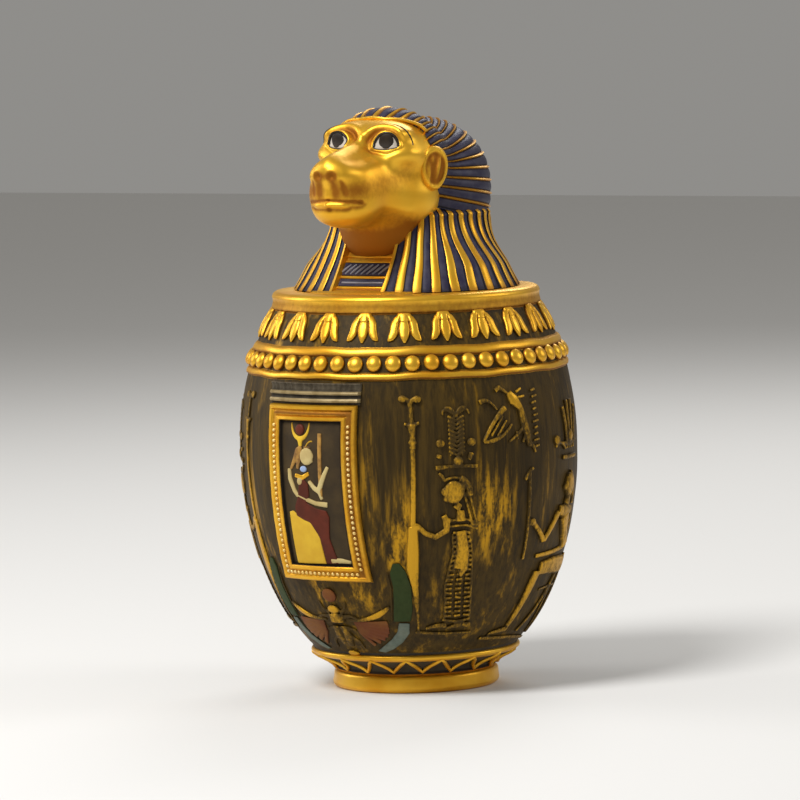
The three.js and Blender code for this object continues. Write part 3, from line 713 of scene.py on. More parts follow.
def cast(name, parts, voxel=None, soften=None, depth=None, lift=0.0):
    obj = joined(parts, name)
    modified(obj, "REMESH", mode="VOXEL", voxel_size=voxel or relief["voxel"])
    modified(obj, "SMOOTH", factor=0.5, iterations=relief["soften"] if soften is None else soften)
    places = pointsOf(obj)
    depth = depth or relief["depth"]
    places[:, 2] = np.where(places[:, 2] > 0, depth * (1 - np.exp(-places[:, 2] / depth)),
                            places[:, 2]) + lift
    places[:, 2] = np.maximum(places[:, 2], relief["root"])
    movePoints(obj, places)
    return obj


def markRidges(obj):  # what stands above its neighbours, which a dry brush catches first
    softer = copyOf(obj, "softer")
    modified(softer, "SMOOTH", factor=0.5, iterations=40)
    addShade(obj, "ridge", pointsOf(obj)[:, 2] - pointsOf(softer)[:, 2])
    bpy.data.objects.remove(softer)
    return obj


def copyOf(obj, name):
    pick(obj)
    bpy.ops.object.duplicate()
    return named(name)


# wraps a flat cast, gold where it glows
def laidOn(obj, angle, side, material, slot="painted_bronze", glow=()):
    places = pointsOf(obj)
    raised = 0.72 * np.clip(places[:, 2] / relief["depth"], 0, 1)
    if "ridge" in obj.data.attributes:
        ridge = np.empty(len(places))
        obj.data.attributes["ridge"].data.foreach_get("value", ridge)
        raised += 0.75 * softStep(ridge, -0.05, 0.45)
    if side < 0 and angle:
        places[:, 2] *= np.where(places[:, 2] > 0, relief["leftShare"], 1)
    for u, z, wide, tall, strength in glow:
        raised += strength * bump(np.hypot((places[:, 0] - u) / wide, (places[:, 1] - z) / tall), 0, 1)
    addShade(obj, "raised", raised)
    # painted shade where the relief meets the wall
    low = np.clip(1 - places[:, 2] / 0.5, 0, 1)
    addShade(obj, "paintedShade", low)
    movePoints(obj, wrapped(places, angle, side))
    return smoothed(jarFinished(obj, slot, material))


def bothWalls(obj, name, angle, material, glow=()):
    markRidges(obj)
    other = copyOf(obj, name + "Left")
    laidOn(obj, angle, 1, material, glow=glow)
    obj.name = obj.data.name = name + "Right"
    laidOn(other, angle, -1, material, glow=glow)


def bow(start, bend, end, count=8):  # points on a curve from start to end, pulled towards bend
    return [tuple((1 - t) ** 2 * np.array(start) + 2 * t * (1 - t) * np.array(bend) + t * t * np.array(end))
            for t in np.linspace(0, 1, count)]


standing = {"angle": 51, "netTop": 57.5, "netBottom": 27, "netStep": 1.62}


def makeStanding():
    net = []
    z = standing["netTop"]
    while z > standing["netBottom"]:
        left = np.interp(z, [27, 39, 51, 59], [-2.2, -3.1, -1.0, -1.5])
        right = np.interp(z, [27, 38.5, 50.4, 58.7], [6.9, 6.2, 5.9, 4.4])
        for share in (0.02, 0.37, 0.72):
            start = left + (right - left) * share
            end = start + (right - left) * 0.25
            tilt = 0.25 * math.sin(z * 2.3 + share * 9)
            net.append(([(start, z + tilt), (end, z - tilt * 0.6)], (1.15, 1.0)))
        z -= standing["netStep"]
    plume = [([(-2.6, 96.9 - 1.45 * n), (0.25, 95.4 - 1.45 * n), (3.0, 96.9 - 1.45 * n)], (1.25, 0.95, 1.25))
             for n in range(9)]
    strokes = [
        # the staff, from its forked top to its point
        (bow((-15, 101), (-15.1, 103.4), (-17.4, 103.3)), 1.6),
        (bow((-15, 101), (-14.9, 103.2), (-12.5, 103)), 1.6),
        ([(-15, 101.5), (-14.8, 94.6)], 1.7), ([(-17.3, 94.9), (-15, 94.2), (-12.2, 95.1)], 1.3),
        ([(-14.8, 94.6), (-14.7, 90.5), (-14.8, 86.7)], (3.2, 2.2, 2.4)),
        ([(-14.8, 86.7), (-14.9, 59.6)], (1.9, 1.9)),
        ([(-14.9, 60), (-14.7, 52), (-14.4, 45.6), (-13.2, 39.6), (-11.3, 29.2), (-10.1, 22.3)],
         (3.4, 4.4, 4.4, 2.6, 1.2, 0.9)),
        # the arm that holds it
        ([(-13.2, 60.3), (-10.7, 57.7), (-7.2, 56.3), (-3.6, 58.4), (-3.6, 62.5)], (1.6, 2.0, 2.3, 2.6, 3.0)),
        # crown
        (bow((0.2, 97), (-4.6, 100.9), (-4.4, 97.3)), 1.0), (bow((0.2, 97), (5.0, 100.9), (4.8, 97.3)), 1.0),
        (bow((0.2, 96.5), (-1.2, 100.8), (-3.4, 99.4)), 1.3),
        (bow((0.2, 96.5), (1.8, 100.8), (3.8, 99.4)), 1.3),
        ([(-2.3, 96), (-1.7, 90), (-2.1, 83.5)], 0.7), ([(2.7, 96), (2.0, 90), (2.2, 83.5)], 0.7), *plume,
        ([(-7.3, 79.7), (-3, 80.0), (3, 80.0), (7.3, 79.8)], (1.9, 1.3, 1.3, 1.6)),
        ([(-5.8, 84.2), (-6.2, 83)], 2.2), ([(5.4, 84.4), (4.4, 82)], (2, 1.4)),
        # uraeus, brow band, hair and its hanging lappet
        ([(-6.2, 78), (-4.9, 76.6), (-4.6, 75.2)], (1.3, 1.4, 1.1)),
        (bow((-4.6, 75.2), (-1.5, 77.2), (2.2, 75.6)), 1.0), (bow((1.2, 76), (4.6, 74.5), (4.6, 70)), 2.4),
        ([(1.6, 73.6), (3.6, 67), (5.4, 60.2)], (1.0, 1.1, 1.0)),
        ([(3.2, 74.2), (5.3, 67), (7.2, 60.2)], (1.1, 1.1, 1.0)),
        ([(5.2, 60.1), (7.8, 59.8)], 1.1),
        # shoulders, chest, collar and girdle
        ([(-0.4, 65.6), (0.9, 67.4)], (3.2, 2.4)), ([(-4.6, 63.6), (-3.2, 60.8)], (2.2, 2.4)),
        ([(1.2, 65), (1.4, 61.4)], (3.0, 3.4)), ([(-2.2, 61.8), (3.4, 61.9), (8.4, 60.2)], 0.9),
        ([(-2.4, 59.8), (3.4, 59.9), (7.6, 58.4)], 1.0),
        # the dress under its net, its hems, the feet and the ground line
        ([(1.5, 58), (2.4, 50.9), (1.9, 45)], (3.6, 4.6, 5.4)),
        ([(-1.5, 57), (-1, 50.9), (-3.1, 39.2), (-2.2, 27.2)], 0.8),
        ([(4.6, 57.5), (5.9, 50.4), (6.2, 38.5), (6.9, 27)], 0.8),
        ([(1.6, 46.8), (3.1, 44.8), (1.8, 42.4)], (1.6, 3.2, 1.4)),
        ([(-2.8, 27), (2, 26.2), (6.9, 26.8)], 1.1),
        ([(-8, 24.1), (-4.5, 24.9), (-1.2, 24.9)], (1.1, 1.9, 2.1)),
        ([(-0.8, 24), (3.6, 24.9), (7.3, 24.5)], (1.1, 2.0, 2.2)),
        ([(-11.3, 22.8), (-2, 22), (8.4, 21.7)], (1.2, 1.3, 1.0)), *net,
    ]
    parts = [
        lines(*strokes),
        ball((-17.4, 103.2), 1.5, 1.3), ball((-12.5, 103), 1.5, 1.3), ball((-14.8, 88.6), 1.5, 0.9),
        ball((-5.5, 88), 1.6, 1.4), ball((5.4, 88), 1.6, 1.4), ball((0.5, 81.8), 1.8, 1.6),
        ball((-1.2, 71.4), 3.5, 3.9), ball((-3.9, 71.6), 1.7, 1.6), ball((-3.2, 69.2), 1.7, 1.2),
        ball((1.4, 72.6), 1.4, 1.7),
        ball((-14, 60), 1.7, 1.3),
    ]
    obj = cast("standing", parts, voxel=0.27, soften=2)
    glow = [(-14.6, 50, 3, 14, 0.55), (-14.8, 72, 1.6, 16, 0.25), (0, 60, 9, 6, 0.15), (3, 50, 5, 5, 0.15)]
    bothWalls(obj, "standing", standing["angle"], finish["brushed"], glow)


seated = {"angle": 98}


def makeSeated():
    strokes = [
        ([(-20.9, 73.6), (-19.2, 76.2), (-17.2, 77.4)], (1.5, 1.2, 1.5)),
        ([(-18.9, 76.4), (-17.6, 59.5), (-16.6, 46)], (1.6, 1.4, 1.2)),
        # tall feathered crown
        *[([(7.2 + lean, 82), (7.4 + lean * 1.3, 90), (7.8 + lean * 1.9, 99.5 - abs(lean))], (1.2, 1.7, 2.0))
          for lean in (-3.0, -1.0, 1.0, 3.0)],
        ([(-0.5, 84.3), (6, 83.6), (13, 84.6)], (1.2, 1.6, 1.2)),
        ([(0.5, 79.3), (6.1, 79.1), (12.4, 79.2)], 1.7),
        (bow((3, 82), (-1, 86.4), (-4.4, 83.2)), 1.2),
        # hair, neck, shoulders and waist
        (bow((7.4, 73.6), (12.4, 71), (11.2, 62.5)), 2.4), ([(6.8, 66), (5.4, 62.8)], (3.0, 4.4)),
        ([(-0.2, 61.4), (4.6, 60.4), (10.2, 60.8)], (3.4, 5.2, 3.2)),
        ([(5, 59), (7.2, 53), (9.6, 48.4)], (6.6, 5.0, 5.8)),
        # arms
        ([(-0.6, 60.6), (-4.2, 55.6), (-7.4, 51.6)], (3.0, 2.5, 2.2)),
        ([(-7.4, 51.6), (-11.2, 55.4), (-15.2, 58.8)], (2.2, 1.9, 1.8)),
        ([(10.6, 60), (11.6, 53), (9, 47.6)], (2.6, 2.4, 2.0)),
        ([(9, 47.8), (0, 46.9), (-10.2, 46.5)], (2.0, 1.8, 1.5)),
        # thigh, shin and foot
        ([(12.4, 41.6), (2, 42.2), (-6.2, 41.8)], (6.8, 6.2, 4.8)),
        ([(-7, 41), (-9, 31), (-10.6, 22.6)], (4.2, 3.2, 2.4)),
        ([(-10, 21.4), (-14, 21), (-17.6, 20.4)], (2.2, 1.8, 1.1)),
        ([(9.4, 38.4), (3, 27), (-2.4, 19.6)], (2.2, 1.8, 1.4)),
        ([(-20.3, 19), (-4, 17.8), (13.5, 15.6)], 1.3),
        # low seat with its upright lines
        ([(15.4, 45), (15.6, 30), (15, 17)], 1.6), ([(-1, 34), (7, 34.4), (15, 34.2)], 1.0),
        ([(8, 33.6), (9, 18)], 1.0),
    ]
    parts = [lines(*strokes), ball((6.6, 69.6), 3.6, 4.1), ball((3.6, 69), 1.5, 1.3),
             ball((-15.6, 58.8), 1.6, 1.4),
             ball((-3.6, 85.6), 1.7, 1.6), ball((6.4, 86.4), 2.2, 2.2)]
    glow = [(-4, 47, 12, 3, 0.3), (-8, 32, 5, 12, 0.25), (-6, 56, 10, 6, 0.25)]
    bothWalls(cast("seated", parts, voxel=0.3, soften=3), "seated", seated["angle"], finish["brushed"], glow)


bee = {"angle": 71}


def makeBee():
    bars = [([(10.9 + 0.3 * math.sin(n * 2.2), 103.4 - 2.1 * n),
              (13.2 + 0.4 * math.sin(n * 1.7), 103.9 - 2.1 * n)], (0.9, 1.1))
            for n in range(10)]
    strokes = [
        (bow((-10.9, 100.8), (-7.6, 103), (-4.4, 98.0)), (1.9, 1.8, 1.6, 1.4, 1.2, 1.0, 0.9, 0.9)),
        ([(-4.4, 104.4), (-2.6, 105.4), (0.4, 103.4)], (1.7, 1.9, 1.0)),
        ([(1.0, 103.4), (2.6, 101), (5.2, 98.2), (6.4, 93.6), (7.6, 89.4), (8.6, 84.8)],
         (2.4, 4.2, 2.4, 3.0, 3.0, 1.6)),
        ([(4.2, 103.4), (6.6, 104.6)], 1.0), ([(5.0, 101.6), (7.8, 102)], 1.0),
        (bow((-1.2, 98.6), (-6.4, 95), (-10.4, 87.6)), (2.2, 2.0, 1.7, 1.5, 1.5, 1.5, 1.4, 1.2)),
        (bow((-10.4, 87.6), (-3.4, 87.2), (1.2, 93)), (1.2, 1.4, 1.6, 1.5, 1.3, 1.2, 1.1, 1.0)),
        ([(-2.4, 96), (-7.4, 89.4)], 0.9), ([(-1, 94.4), (-5, 89.2)], 0.9),
        ([(5.8, 91), (2.6, 88.8), (-0.4, 87)], (1.2, 1.1, 0.9)), ([(6.8, 89), (5.4, 86.4)], 1.1),
        ([(3, 90.4), (3.4, 87.6)], 0.9), ([(8.2, 86.6), (10.6, 84.4), (11.4, 82.6)], (1.6, 1.3, 1.0)), *bars,
    ]
    glow = [(2.6, 101, 4, 4, 0.35), (-7, 91, 5, 5, 0.2)]
    bothWalls(cast("bee", [lines(*strokes)], voxel=0.27, soften=2), "bee", bee["angle"], finish["brushed"],
              glow)


makeStanding()
makeSeated()
makeBee()
print("stage 4: figures")


# Stage 5: lotus flowers, beads and the foot's petals
flowers = {"count": 22, "start": 1.9, "top": 130.6, "tip": 121.5, "spread": 5.6}
beads = {"count": 52, "start": 2.6, "height": 114.9, "radius": 2.72, "proud": 1.9}


def roundJar(obj, name, count, start, slot, material):  # copies a flat piece round the wall
    copies = []
    for n in range(count):
        other = copyOf(obj, "copy")
        places = pointsOf(other)
        places[:, 1] += 0.12 * math.sin(n * 2.4)
        places[:, 0] *= 1 + 0.03 * math.sin(n * 3.7)
        movePoints(other, wrapped(places, start + 360 * n / count))
        copies.append(other)
    bpy.data.objects.remove(obj)
    return smoothed(jarFinished(joined(copies, name), slot, material))


def makeFlowers():
    spread, top, tip = flowers["spread"], flowers["top"], flowers["tip"]
    strokes = [([(0, top + 0.8), (0, top - 1.8)], (4.4, 6.0)),
               ([(0, top - 0.4), (0, top - 4.0), (0, top - 6.8), (0, tip)], (2.8, 3.7, 3.2, 0.8))]
    for side in (-1, 1):
        strokes.append(([(side * 1.7, top - 0.9), (side * 2.7, top - 3.2), (side * 3.3, top - 5.4),
                         (side * 4.5, top - 7.4), (side * spread, tip + 0.7)], (3.0, 3.8, 3.3, 2.3, 0.6)))
    obj = cast("flower", [lines(*strokes)], voxel=0.36, soften=3, depth=1.5)
    places = pointsOf(obj)
    groove = bump(np.abs(places[:, 0]) - np.interp(places[:, 1], [tip, top - 4, top], [2.1, 1.9, 1.1]), 0,
                  0.32)
    groove *= softStep(places[:, 1], top + 0.5, top - 2)
    places[:, 2] -= 0.75 * groove * (places[:, 2] > 0) * softStep(places[:, 1], tip, tip + 2)
    movePoints(obj, places)
    # painted shade in the petals' grooves and where they meet the wall
    addShade(obj, "paintedShade", np.clip(0.95 * groove + softStep(places[:, 2], 0.5, 0.0), 0, 1))
    modified(obj, "DECIMATE", ratio=0.6)
    roundJar(obj, "lotusFlowers", flowers["count"], flowers["start"], "painted_gold", finish["gold"])


def makeBeads():
    bpy.ops.mesh.primitive_uv_sphere_add(segments=26, ring_count=16, radius=1)
    obj = bpy.context.object
    places = pointsOf(obj) * (beads["radius"], beads["radius"], beads["proud"])
    places[:, 1] += beads["height"]
    movePoints(obj, places)
    # painted shade where each bead meets the wall and over its lower half
    addShade(obj, "paintedShade", np.clip(softStep(places[:, 2], 0.9, 0.1)
                                    + 0.3 * softStep(places[:, 1], 114.5, 112.5), 0, 1))
    roundJar(obj, "beads", beads["count"], beads["start"], "painted_gold", finish["gold"])


footPetals = {"count": 18, "low": 7.4, "high": 12.3}


def footRadiusAt(z):
    neck = jar["footRadius"] - 0.7
    share = np.clip((np.asarray(z, dtype=float) - 7.2) / 4.6, 0, 1)
    return neck + (jar["ridgeRadius"] - 1.2 - neck) * share ** 1.7


def makeFootPetals():
    count = footPetals["count"]
    path = []
    for n in range(2 * count * 4 + 1):
        share = n / 4
        z = np.interp(share % 2, [0, 1, 2], [footPetals["low"], footPetals["high"], footPetals["low"]])
        turn = math.pi * share / count
        reach = float(footRadiusAt(z)) + 0.15
        path.append((reach * math.sin(turn), -reach * math.cos(turn), float(z)))
    obj = tubeAlong("footPetals", path[:-1] + [path[0]], 0.75)
    smoothed(jarFinished(obj, "painted_gold", finish["gold"]))


makeFlowers()
makeBeads()
makeFootPetals()
print("stage 5: bands and foot")


# Stage 6: the painted panel in its frame
panel = {
    "width": 36,
    "bottom": 41,
    "top": 101.3,
    "border": 5.6,
    "proud": 1.7,
    "pearlStep": 1.8,
    "pearlRadius": 0.62,
}


def heightField(name, columns, rows, rise, zone, materials, slot, paintedShade=None, thick=1.4):
    bpy.ops.mesh.primitive_grid_add(x_subdivisions=len(columns) - 1, y_subdivisions=len(rows) - 1, size=1)
    obj = named(name)
    flat = pointsOf(obj) + 0.5
    u = np.array(columns)[np.round(flat[:, 0] * (len(columns) - 1)).astype(int)]
    z = np.array(rows)[np.round(flat[:, 1] * (len(rows) - 1)).astype(int)]
    movePoints(obj, wrapped(np.stack([u, z, rise(u, z)], axis=1), 0))
    zones = [zone(np.mean([u[v] for v in f.vertices]),
                  np.mean([z[v] for v in f.vertices])) for f in obj.data.polygons]
    for material in materials:
        obj.data.materials.append(material)
    obj.data.polygons.foreach_set("material_index", zones)
    if paintedShade is not None:
        addShade(obj, "paintedShade", np.clip(paintedShade(u, z), 0, 1))
    modified(obj, "SOLIDIFY", thickness=thick, offset=-1)
    jarFinished(obj, slot, *materials)
    return smoothed(obj, 35)


def edgeCuts(low, high, cuts, step):
    middle = np.arange(low + cuts[-1] + step, high - cuts[-1] - step / 2, step)
    return sorted([low + c for c in cuts] + list(middle) + [high - c for c in cuts])


def edgeDistance(u, z):
    return np.minimum(panel["width"] / 2 - np.abs(u), np.minimum(z - panel["bottom"], panel["top"] - z))


def makePanel():
    half, low, high = panel["width"] / 2, panel["bottom"], panel["top"]
    cuts = [0, 0.25, 0.6, 1.5, 1.8, 2.1, 3.5, 3.8, 4.1, 5.0, 5.35, panel["border"]]
    rows = sorted(edgeCuts(low, high, cuts, 1.5) + [high - 2.8])

    def rise(u, z):
        inward = edgeDistance(u, z)
        profile = np.interp(inward, cuts, [0.1, 1.3, 1.7, 1.65, 1.25, 1.1, 1.1, 1.25, 1.6, 1.55, 1.2, 0.12])
        bars = np.interp(high - z, [0, 0.25, 0.6, 1.5, 1.8, 2.1, 2.8, 3.5, 3.8, 4.1, 5.0, 5.35, 5.6],
                         [0.1, 1.4, 1.8, 1.7, 0.9, 1.0, 1.45, 1.3, 0.85, 1.5, 1.6, 1.2, 0.12])
        profile = np.where((high - z < panel["border"]) & (half - np.abs(u) > high - z - 0.01), bars, profile)
        return profile + 0.05 * np.sin(u * 1.7 + z * 0.9) * (inward < 5.4)

    def zone(u, z):
        return 0 if edgeDistance(u, z) < 5.45 else 1

    # painted shade in the frame's grooves, and over the panel's right side
    def paintedShade(u, z):
        inward = edgeDistance(u, z)
        return 0.85 * bump(inward, 2.8, 0.9) + 0.9 * bump(inward, 5.6, 0.35) + 0.35 * softStep(u, 8, 18)

    heightField("panelFrame", edgeCuts(-half, half, cuts, 1.2), rows, rise, zone,
                (finish["gold"], finish["panelGround"]), "painted_gold", paintedShade)
    pearls = []
    inset = 2.8
    side, bottom, top = half - inset, low + inset, high - panel["border"]
    step = panel["pearlStep"]
    places = [(s * side, z) for s in (-1, 1) for z in np.arange(bottom + step, top, step)]
    places += [(u, bottom) for u in np.arange(-side, side + 0.1, step)]
    bpy.ops.mesh.primitive_uv_sphere_add(segments=8, ring_count=6, radius=1)
    pearl = bpy.context.object
    for u, z in places:
        other = copyOf(pearl, "pearl")
        form = pointsOf(other) * panel["pearlRadius"]
        movePoints(other, wrapped(form + (u, z, 1.2), 0))
        pearls.append(other)
    bpy.data.objects.remove(pearl)
    smoothed(jarFinished(joined(pearls, "pearls"), "painted_gold", finish["paleGold"]))


def makeCornice():
    half = panel["width"] / 2
    knots = [101.3, 101.5, 102.0, 102.2, 102.8, 103.4, 103.6, 104.4, 104.7, 105.2, 105.8, 106.1, 107.0,
             107.8, 108.3, 108.6]
    rises = [0.2, 0.5, 0.5, 1.3, 1.6, 1.3, 0.6, 0.6, 1.4, 1.7, 1.4, 0.7, 0.9, 1.3, 1.8, 1.5]

    def rise(u, z):
        flute = 0.22 * np.cos(u * 2 * math.pi / 1.9) * softStep(z, 106, 106.6)
        edge = softStep(half + 0.8 - np.abs(u), 0, 0.6)
        return (np.interp(z, knots, rises) + flute) * edge

    def zone(u, z):
        return 0 if 102.3 < z < 103.3 or 104.8 < z < 105.7 else 1

    columns = np.linspace(-half - 0.8, half + 0.8, 100)
    # its last argument gives painted shade in the cornice's creases
    heightField("cornice", list(columns), knots, rise, zone, (finish["cornicePale"], finish["corniceGrey"]),
                "painted_gold",
                lambda u, z: 0.8 * bump(z, 101.8, 0.4) + 0.9 * bump(z, 104, 0.5) + 0.4 * bump(z, 106.2, 0.4))


def painted(name, parts, material, depth=0.9, lift=0.05, voxel=0.26, soften=3, slot="painted_bronze"):
    obj = cast(name, parts, voxel=voxel, soften=soften, depth=depth, lift=lift)
    modified(obj, "DECIMATE", ratio=0.5)
    return laidOn(obj, 0, 1, finish[material], slot)


def makeGoddess():
    painted("throne", [slab([(-10, 64.9), (-8.6, 65.2), (-4, 62.2), (1.2, 61), (2.4, 47.2), (-10, 46.9)],
                            0.7),
                       lines(([(-10, 64.6), (-9.9, 47.4)], 1.1),
                             ([(-8.4, 55.2), (-1.4, 55.2), (-1.2, 48)], 0.5))], "yellow")
    painted("dress", [slab([(-4.6, 75.4), (-2.6, 76.2), (-1.0, 74.4), (-0.8, 70.6), (-2.4, 68.2),
                            (1.4, 66.4), (5.4, 65.6),
                            (6.4, 63.4), (5.4, 56), (7.4, 47.4), (2.6, 47.2), (1.6, 56), (-1.6, 61.2),
                            (-7.2, 63.4),
                            (-7.4, 66.8), (-5.8, 70)], 0.75),
                      lines(([(3.6, 63.4), (2.8, 55), (4.4, 48)], 1.1),
                            ([(5.8, 62.4), (4.6, 55), (6.6, 48.4)], 1.0))], "red")
    skin = [lines(([(-9.0, 79.6), (-8.8, 76.2), (-7.2, 72.2), (-5.8, 70.4)], (1.6, 2.1, 1.9, 1.7)),
                  ([(-5.8, 70.6), (-2, 69.2), (1.6, 68), (6.2, 67.6)], (1.7, 1.7, 1.7, 2.0)),
                  ([(-0.6, 75.6), (1.4, 73.2), (3.4, 72)], (1.5, 1.9, 1.9)),
                  ([(3.2, 72.2), (4.6, 75.8), (7.2, 80.6)], (2.0, 2.1, 1.4)),
                  ([(3.4, 72), (4.2, 69.4)], (1.8, 1.4)),
                  ([(4.6, 48.3), (8.6, 48.4), (12.0, 47.9)], (2.2, 1.9, 1.2))),
            ball((-4.4, 75.4), 1.3, 1.5)]
    painted("goddessSkin", skin, "skin")
    painted("goddessHead", [ball((-1.1, 83.9), 2.7, 3.0), ball((1.0, 84.1), 0.8, 1.0),
                            ball((0.6, 82.4), 0.9, 0.7)], "skin")
    wig = [([(-3.2, 87.2), (-5.0, 86.0), (-6.4, 82.4), (-8.2, 79.4)], (1.6, 2.0, 1.9, 1.2)),
           ([(-3.2, 86.4), (-4.4, 83), (-5.2, 79.6)], (1.4, 1.8, 1.4)),
           ([(-2.2, 86.9), (0.4, 87.0)], (1.2, 0.7))]
    painted("goddessWig", [lines(*wig)], "hair")
    painted("goddessCollar", [lines(([(-6.4, 77.4), (-3.2, 76.6), (-0.4, 78.2)], (1.6, 1.9, 1.4)))], "gold",
            slot="painted_gold")
    painted("goddessBead", [ball((-2.6, 79.6), 1.45, 1.1)], "blue")
    horns = [lines((bow((-7.6, 95.4), (-7.4, 90.2), (-3.8, 89.8)), (0.6, 0.8, 1.0, 1.2, 1.4, 1.6, 1.8, 1.9)),
                   (bow((0.0, 95.4), (-0.2, 90.2), (-3.8, 89.8)), (0.6, 0.8, 1.0, 1.2, 1.4, 1.6, 1.8, 1.9)),
                   ([(-3.8, 89.8), (-3.7, 87.2)], (2.4, 1.5)),
                   (bow((-1.6, 86.9), (-0.4, 89.4), (1.4, 89.0)), 0.7))]
    painted("goddessHorns", horns, "yellow", slot="painted_gold")
    painted("goddessDisc", [ball((-3.8, 92.9), 1.95)], "red", depth=1.2)
    painted("goddessStaff", [lines(([(4.3, 91.8), (4.1, 80), (3.9, 70)], (1.8, 1.7, 1.5)))], "hair")


makePanel()
makeCornice()
makeGoddess()
print("stage 6: panel")


# Stage 7: the winged scarab under the panel
scarab = {"feathers": 7}


def mirroredPair(name, makeParts, material, depth, voxel=0.3, slot="painted_bronze", glow=(), lift=0.0):
    obj = cast(name, makeParts(), voxel=voxel, soften=3, depth=depth, lift=lift)
    modified(obj, "DECIMATE", ratio=0.6)
    other = copyOf(obj, name + "Left")
    laidOn(obj, 0, 1, finish[material], slot, glow)
    obj.name = obj.data.name = name + "Right"
    laidOn(other, 0, -1, finish[material], slot, glow)


def makeScarab():
    body = [lines(([(0, 29.2), (0, 26.2)], (5.2, 6.0)),
                  ([(-1.5, 25), (-1.7, 21), (-0.8, 17.4)], (3.0, 3.2, 2.0)),
                  ([(1.5, 25), (1.7, 21), (0.8, 17.4)], (3.0, 3.2, 2.0)),
                  *[([(s * 2.4, 29.6), (s * 4.6, 31.4), (s * 5.4, 33.8)], (1.3, 1.1, 0.9)) for s in (-1, 1)],
                  *[([(s * 2.6, 28.2), (s * 5.6, 28.6), (s * 8.2, 27.6)], (1.4, 1.2, 1.0)) for s in (-1, 1)],
                  *[([(s * 2.6, 21.6), (s * 5.2, 19.4), (s * 5.6, 16.6)], (1.2, 1.1, 0.9)) for s in (-1, 1)],
                  *[([(s * 2.6, 24.4), (s * 6.0, 23.4)], (1.3, 1.0)) for s in (-1, 1)]),
            ball((0, 31), 2.3, 1.5), ball((0, 14.7), 2.2, 1.1)]
    laidOn(cast("scarab", body, depth=1.4), 0, 1, finish["brushed"],
           glow=[(0, 31, 3, 1.5, 0.4), (0, 14.6, 3, 1.4, 0.9)])
    painted("scarabDisc", [ball((0, 36), 2.7, 2.4)], "rust", depth=0.9)
    count = scarab["feathers"]
    tips = [(18.4 * (1 - t) + 10.4 * t + 2.2 * math.sin(math.pi * t),
             26.4 * (1 - t) + 18.0 * t - 0.6 * math.sin(math.pi * t))
            for t in np.linspace(0, 1, count)]
    fan = [([(6.2 + 0.6 * n / count, 26.4 - 4.0 * n / count), tip], (0.9, 1.75))
           for n, tip in enumerate(tips)]
    mirroredPair("wingFan", lambda: [lines(*fan)], "rust", 0.9)
    mirroredPair("wingEdge", lambda: [lines((bow((4.6, 27.2), (13.2, 26.4), (21, 32.2)),
                                             (1.2, 1.3, 1.4, 1.6, 1.9, 2.0, 1.6, 0.9)),
                                            *[(bow((7.4 + 0.4 * n, 26.0 - 0.55 * n), (10, 25 - 0.9 * n),
                                                   (13.2, 25.8 - 1.5 * n)), 0.45)
                                              for n in range(5)])], "brushed", 1.1,
                 glow=[(16, 29, 7, 4, 0.6)])
    mirroredPair("wingEnd", lambda: [slab([(22.2, 26.4), (25.8, 26.2), (24.2, 22.4), (20.2, 19.0),
                                           (16, 16.6), (12.3, 15.2),
                                           (9.8, 15.8), (13.4, 18), (17.2, 20.4), (20.4, 23.2)], 0.45)],
                                           "greyBlue", 0.6)
    mirroredPair("wingGreen", lambda: [slab([(20.6, 26.8), (22.8, 33), (24.3, 38.9), (24.4, 44), (26, 47.4),
                                             (28.4, 47.6), (30, 44.6),
                                             (30.5, 38.9), (28.8, 31.6), (26.4, 26.8)], 0.45)], "green", 0.6)
    mirroredPair("wingRim", lambda: [lines(([(19.9, 26.4), (22, 33), (23.5, 38.9), (23.5, 44.4)],
                                            (0.5, 0.8, 0.8, 0.5)))],
                 "brushed", 0.7)


makeScarab()
print("stage 7: scarab")


# Stage 8: the lid. Its places are (side, front, height above the seat) in millimetres,
# and front is the way the face looks.
def lidPlace(places):
    places = np.asarray(places, dtype=float)
    return np.stack([places[:, 0], -places[:, 1], lid["seat"] + places[:, 2]], axis=1)


def lidFinished(obj, slot, *materials):  # turns a piece made in lid millimetres onto the jar
    turn = math.radians(lid["turn"])
    places = pointsOf(obj)
    x = places[:, 0] * math.cos(turn) - places[:, 1] * math.sin(turn)
    y = places[:, 0] * math.sin(turn) + places[:, 1] * math.cos(turn)
    movePoints(obj, np.stack([x, y, places[:, 2]], axis=1) * mm)
    edited(obj, faceOutwards)
    return finished(obj, "lid", slot, *materials)


def formDistance(places, forms, blend):  # eggs joined with a soft fillet
    total = np.full(len(places), 1e3)
    for centre, size in forms:
        offset = (places - np.array(centre)) / np.array(size)
        near = np.linalg.norm(offset, axis=1)
        slope = np.linalg.norm(offset / np.array(size), axis=1)
        distance = near * (near - 1) / np.maximum(slope, 1e-6)
        share = np.maximum(blend - np.abs(total - distance), 0) / blend
        total = np.minimum(total, distance) - share * share * blend / 4
    return total


def surfaceAlong(origins, directions, forms, blend, far=62.0, step=1.5):
    reach = np.full(len(directions), far)
    searching = np.ones(len(directions), dtype=bool)
    while searching.any() and reach.max() > step:
        tried = origins[searching] + directions[searching] * (reach[searching] - step)[:, None]
        outside = formDistance(tried, forms, blend) > 0
        index = np.flatnonzero(searching)
        reach[index[outside]] -= step
        searching[index[~outside]] = False
        searching &= reach > step
    low, high = reach - step, reach
    for _ in range(12):
        middle = (low + high) / 2
        outside = formDistance(origins + directions * middle[:, None], forms, blend) > 0
        high = np.where(outside, middle, high)
        low = np.where(outside, low, middle)
    return origins + directions * low[:, None]


def bothSides(forms):
    return [((side * c[0], c[1], c[2]), size) for c, size in forms for side in ((1, -1) if c[0] else (1,))]


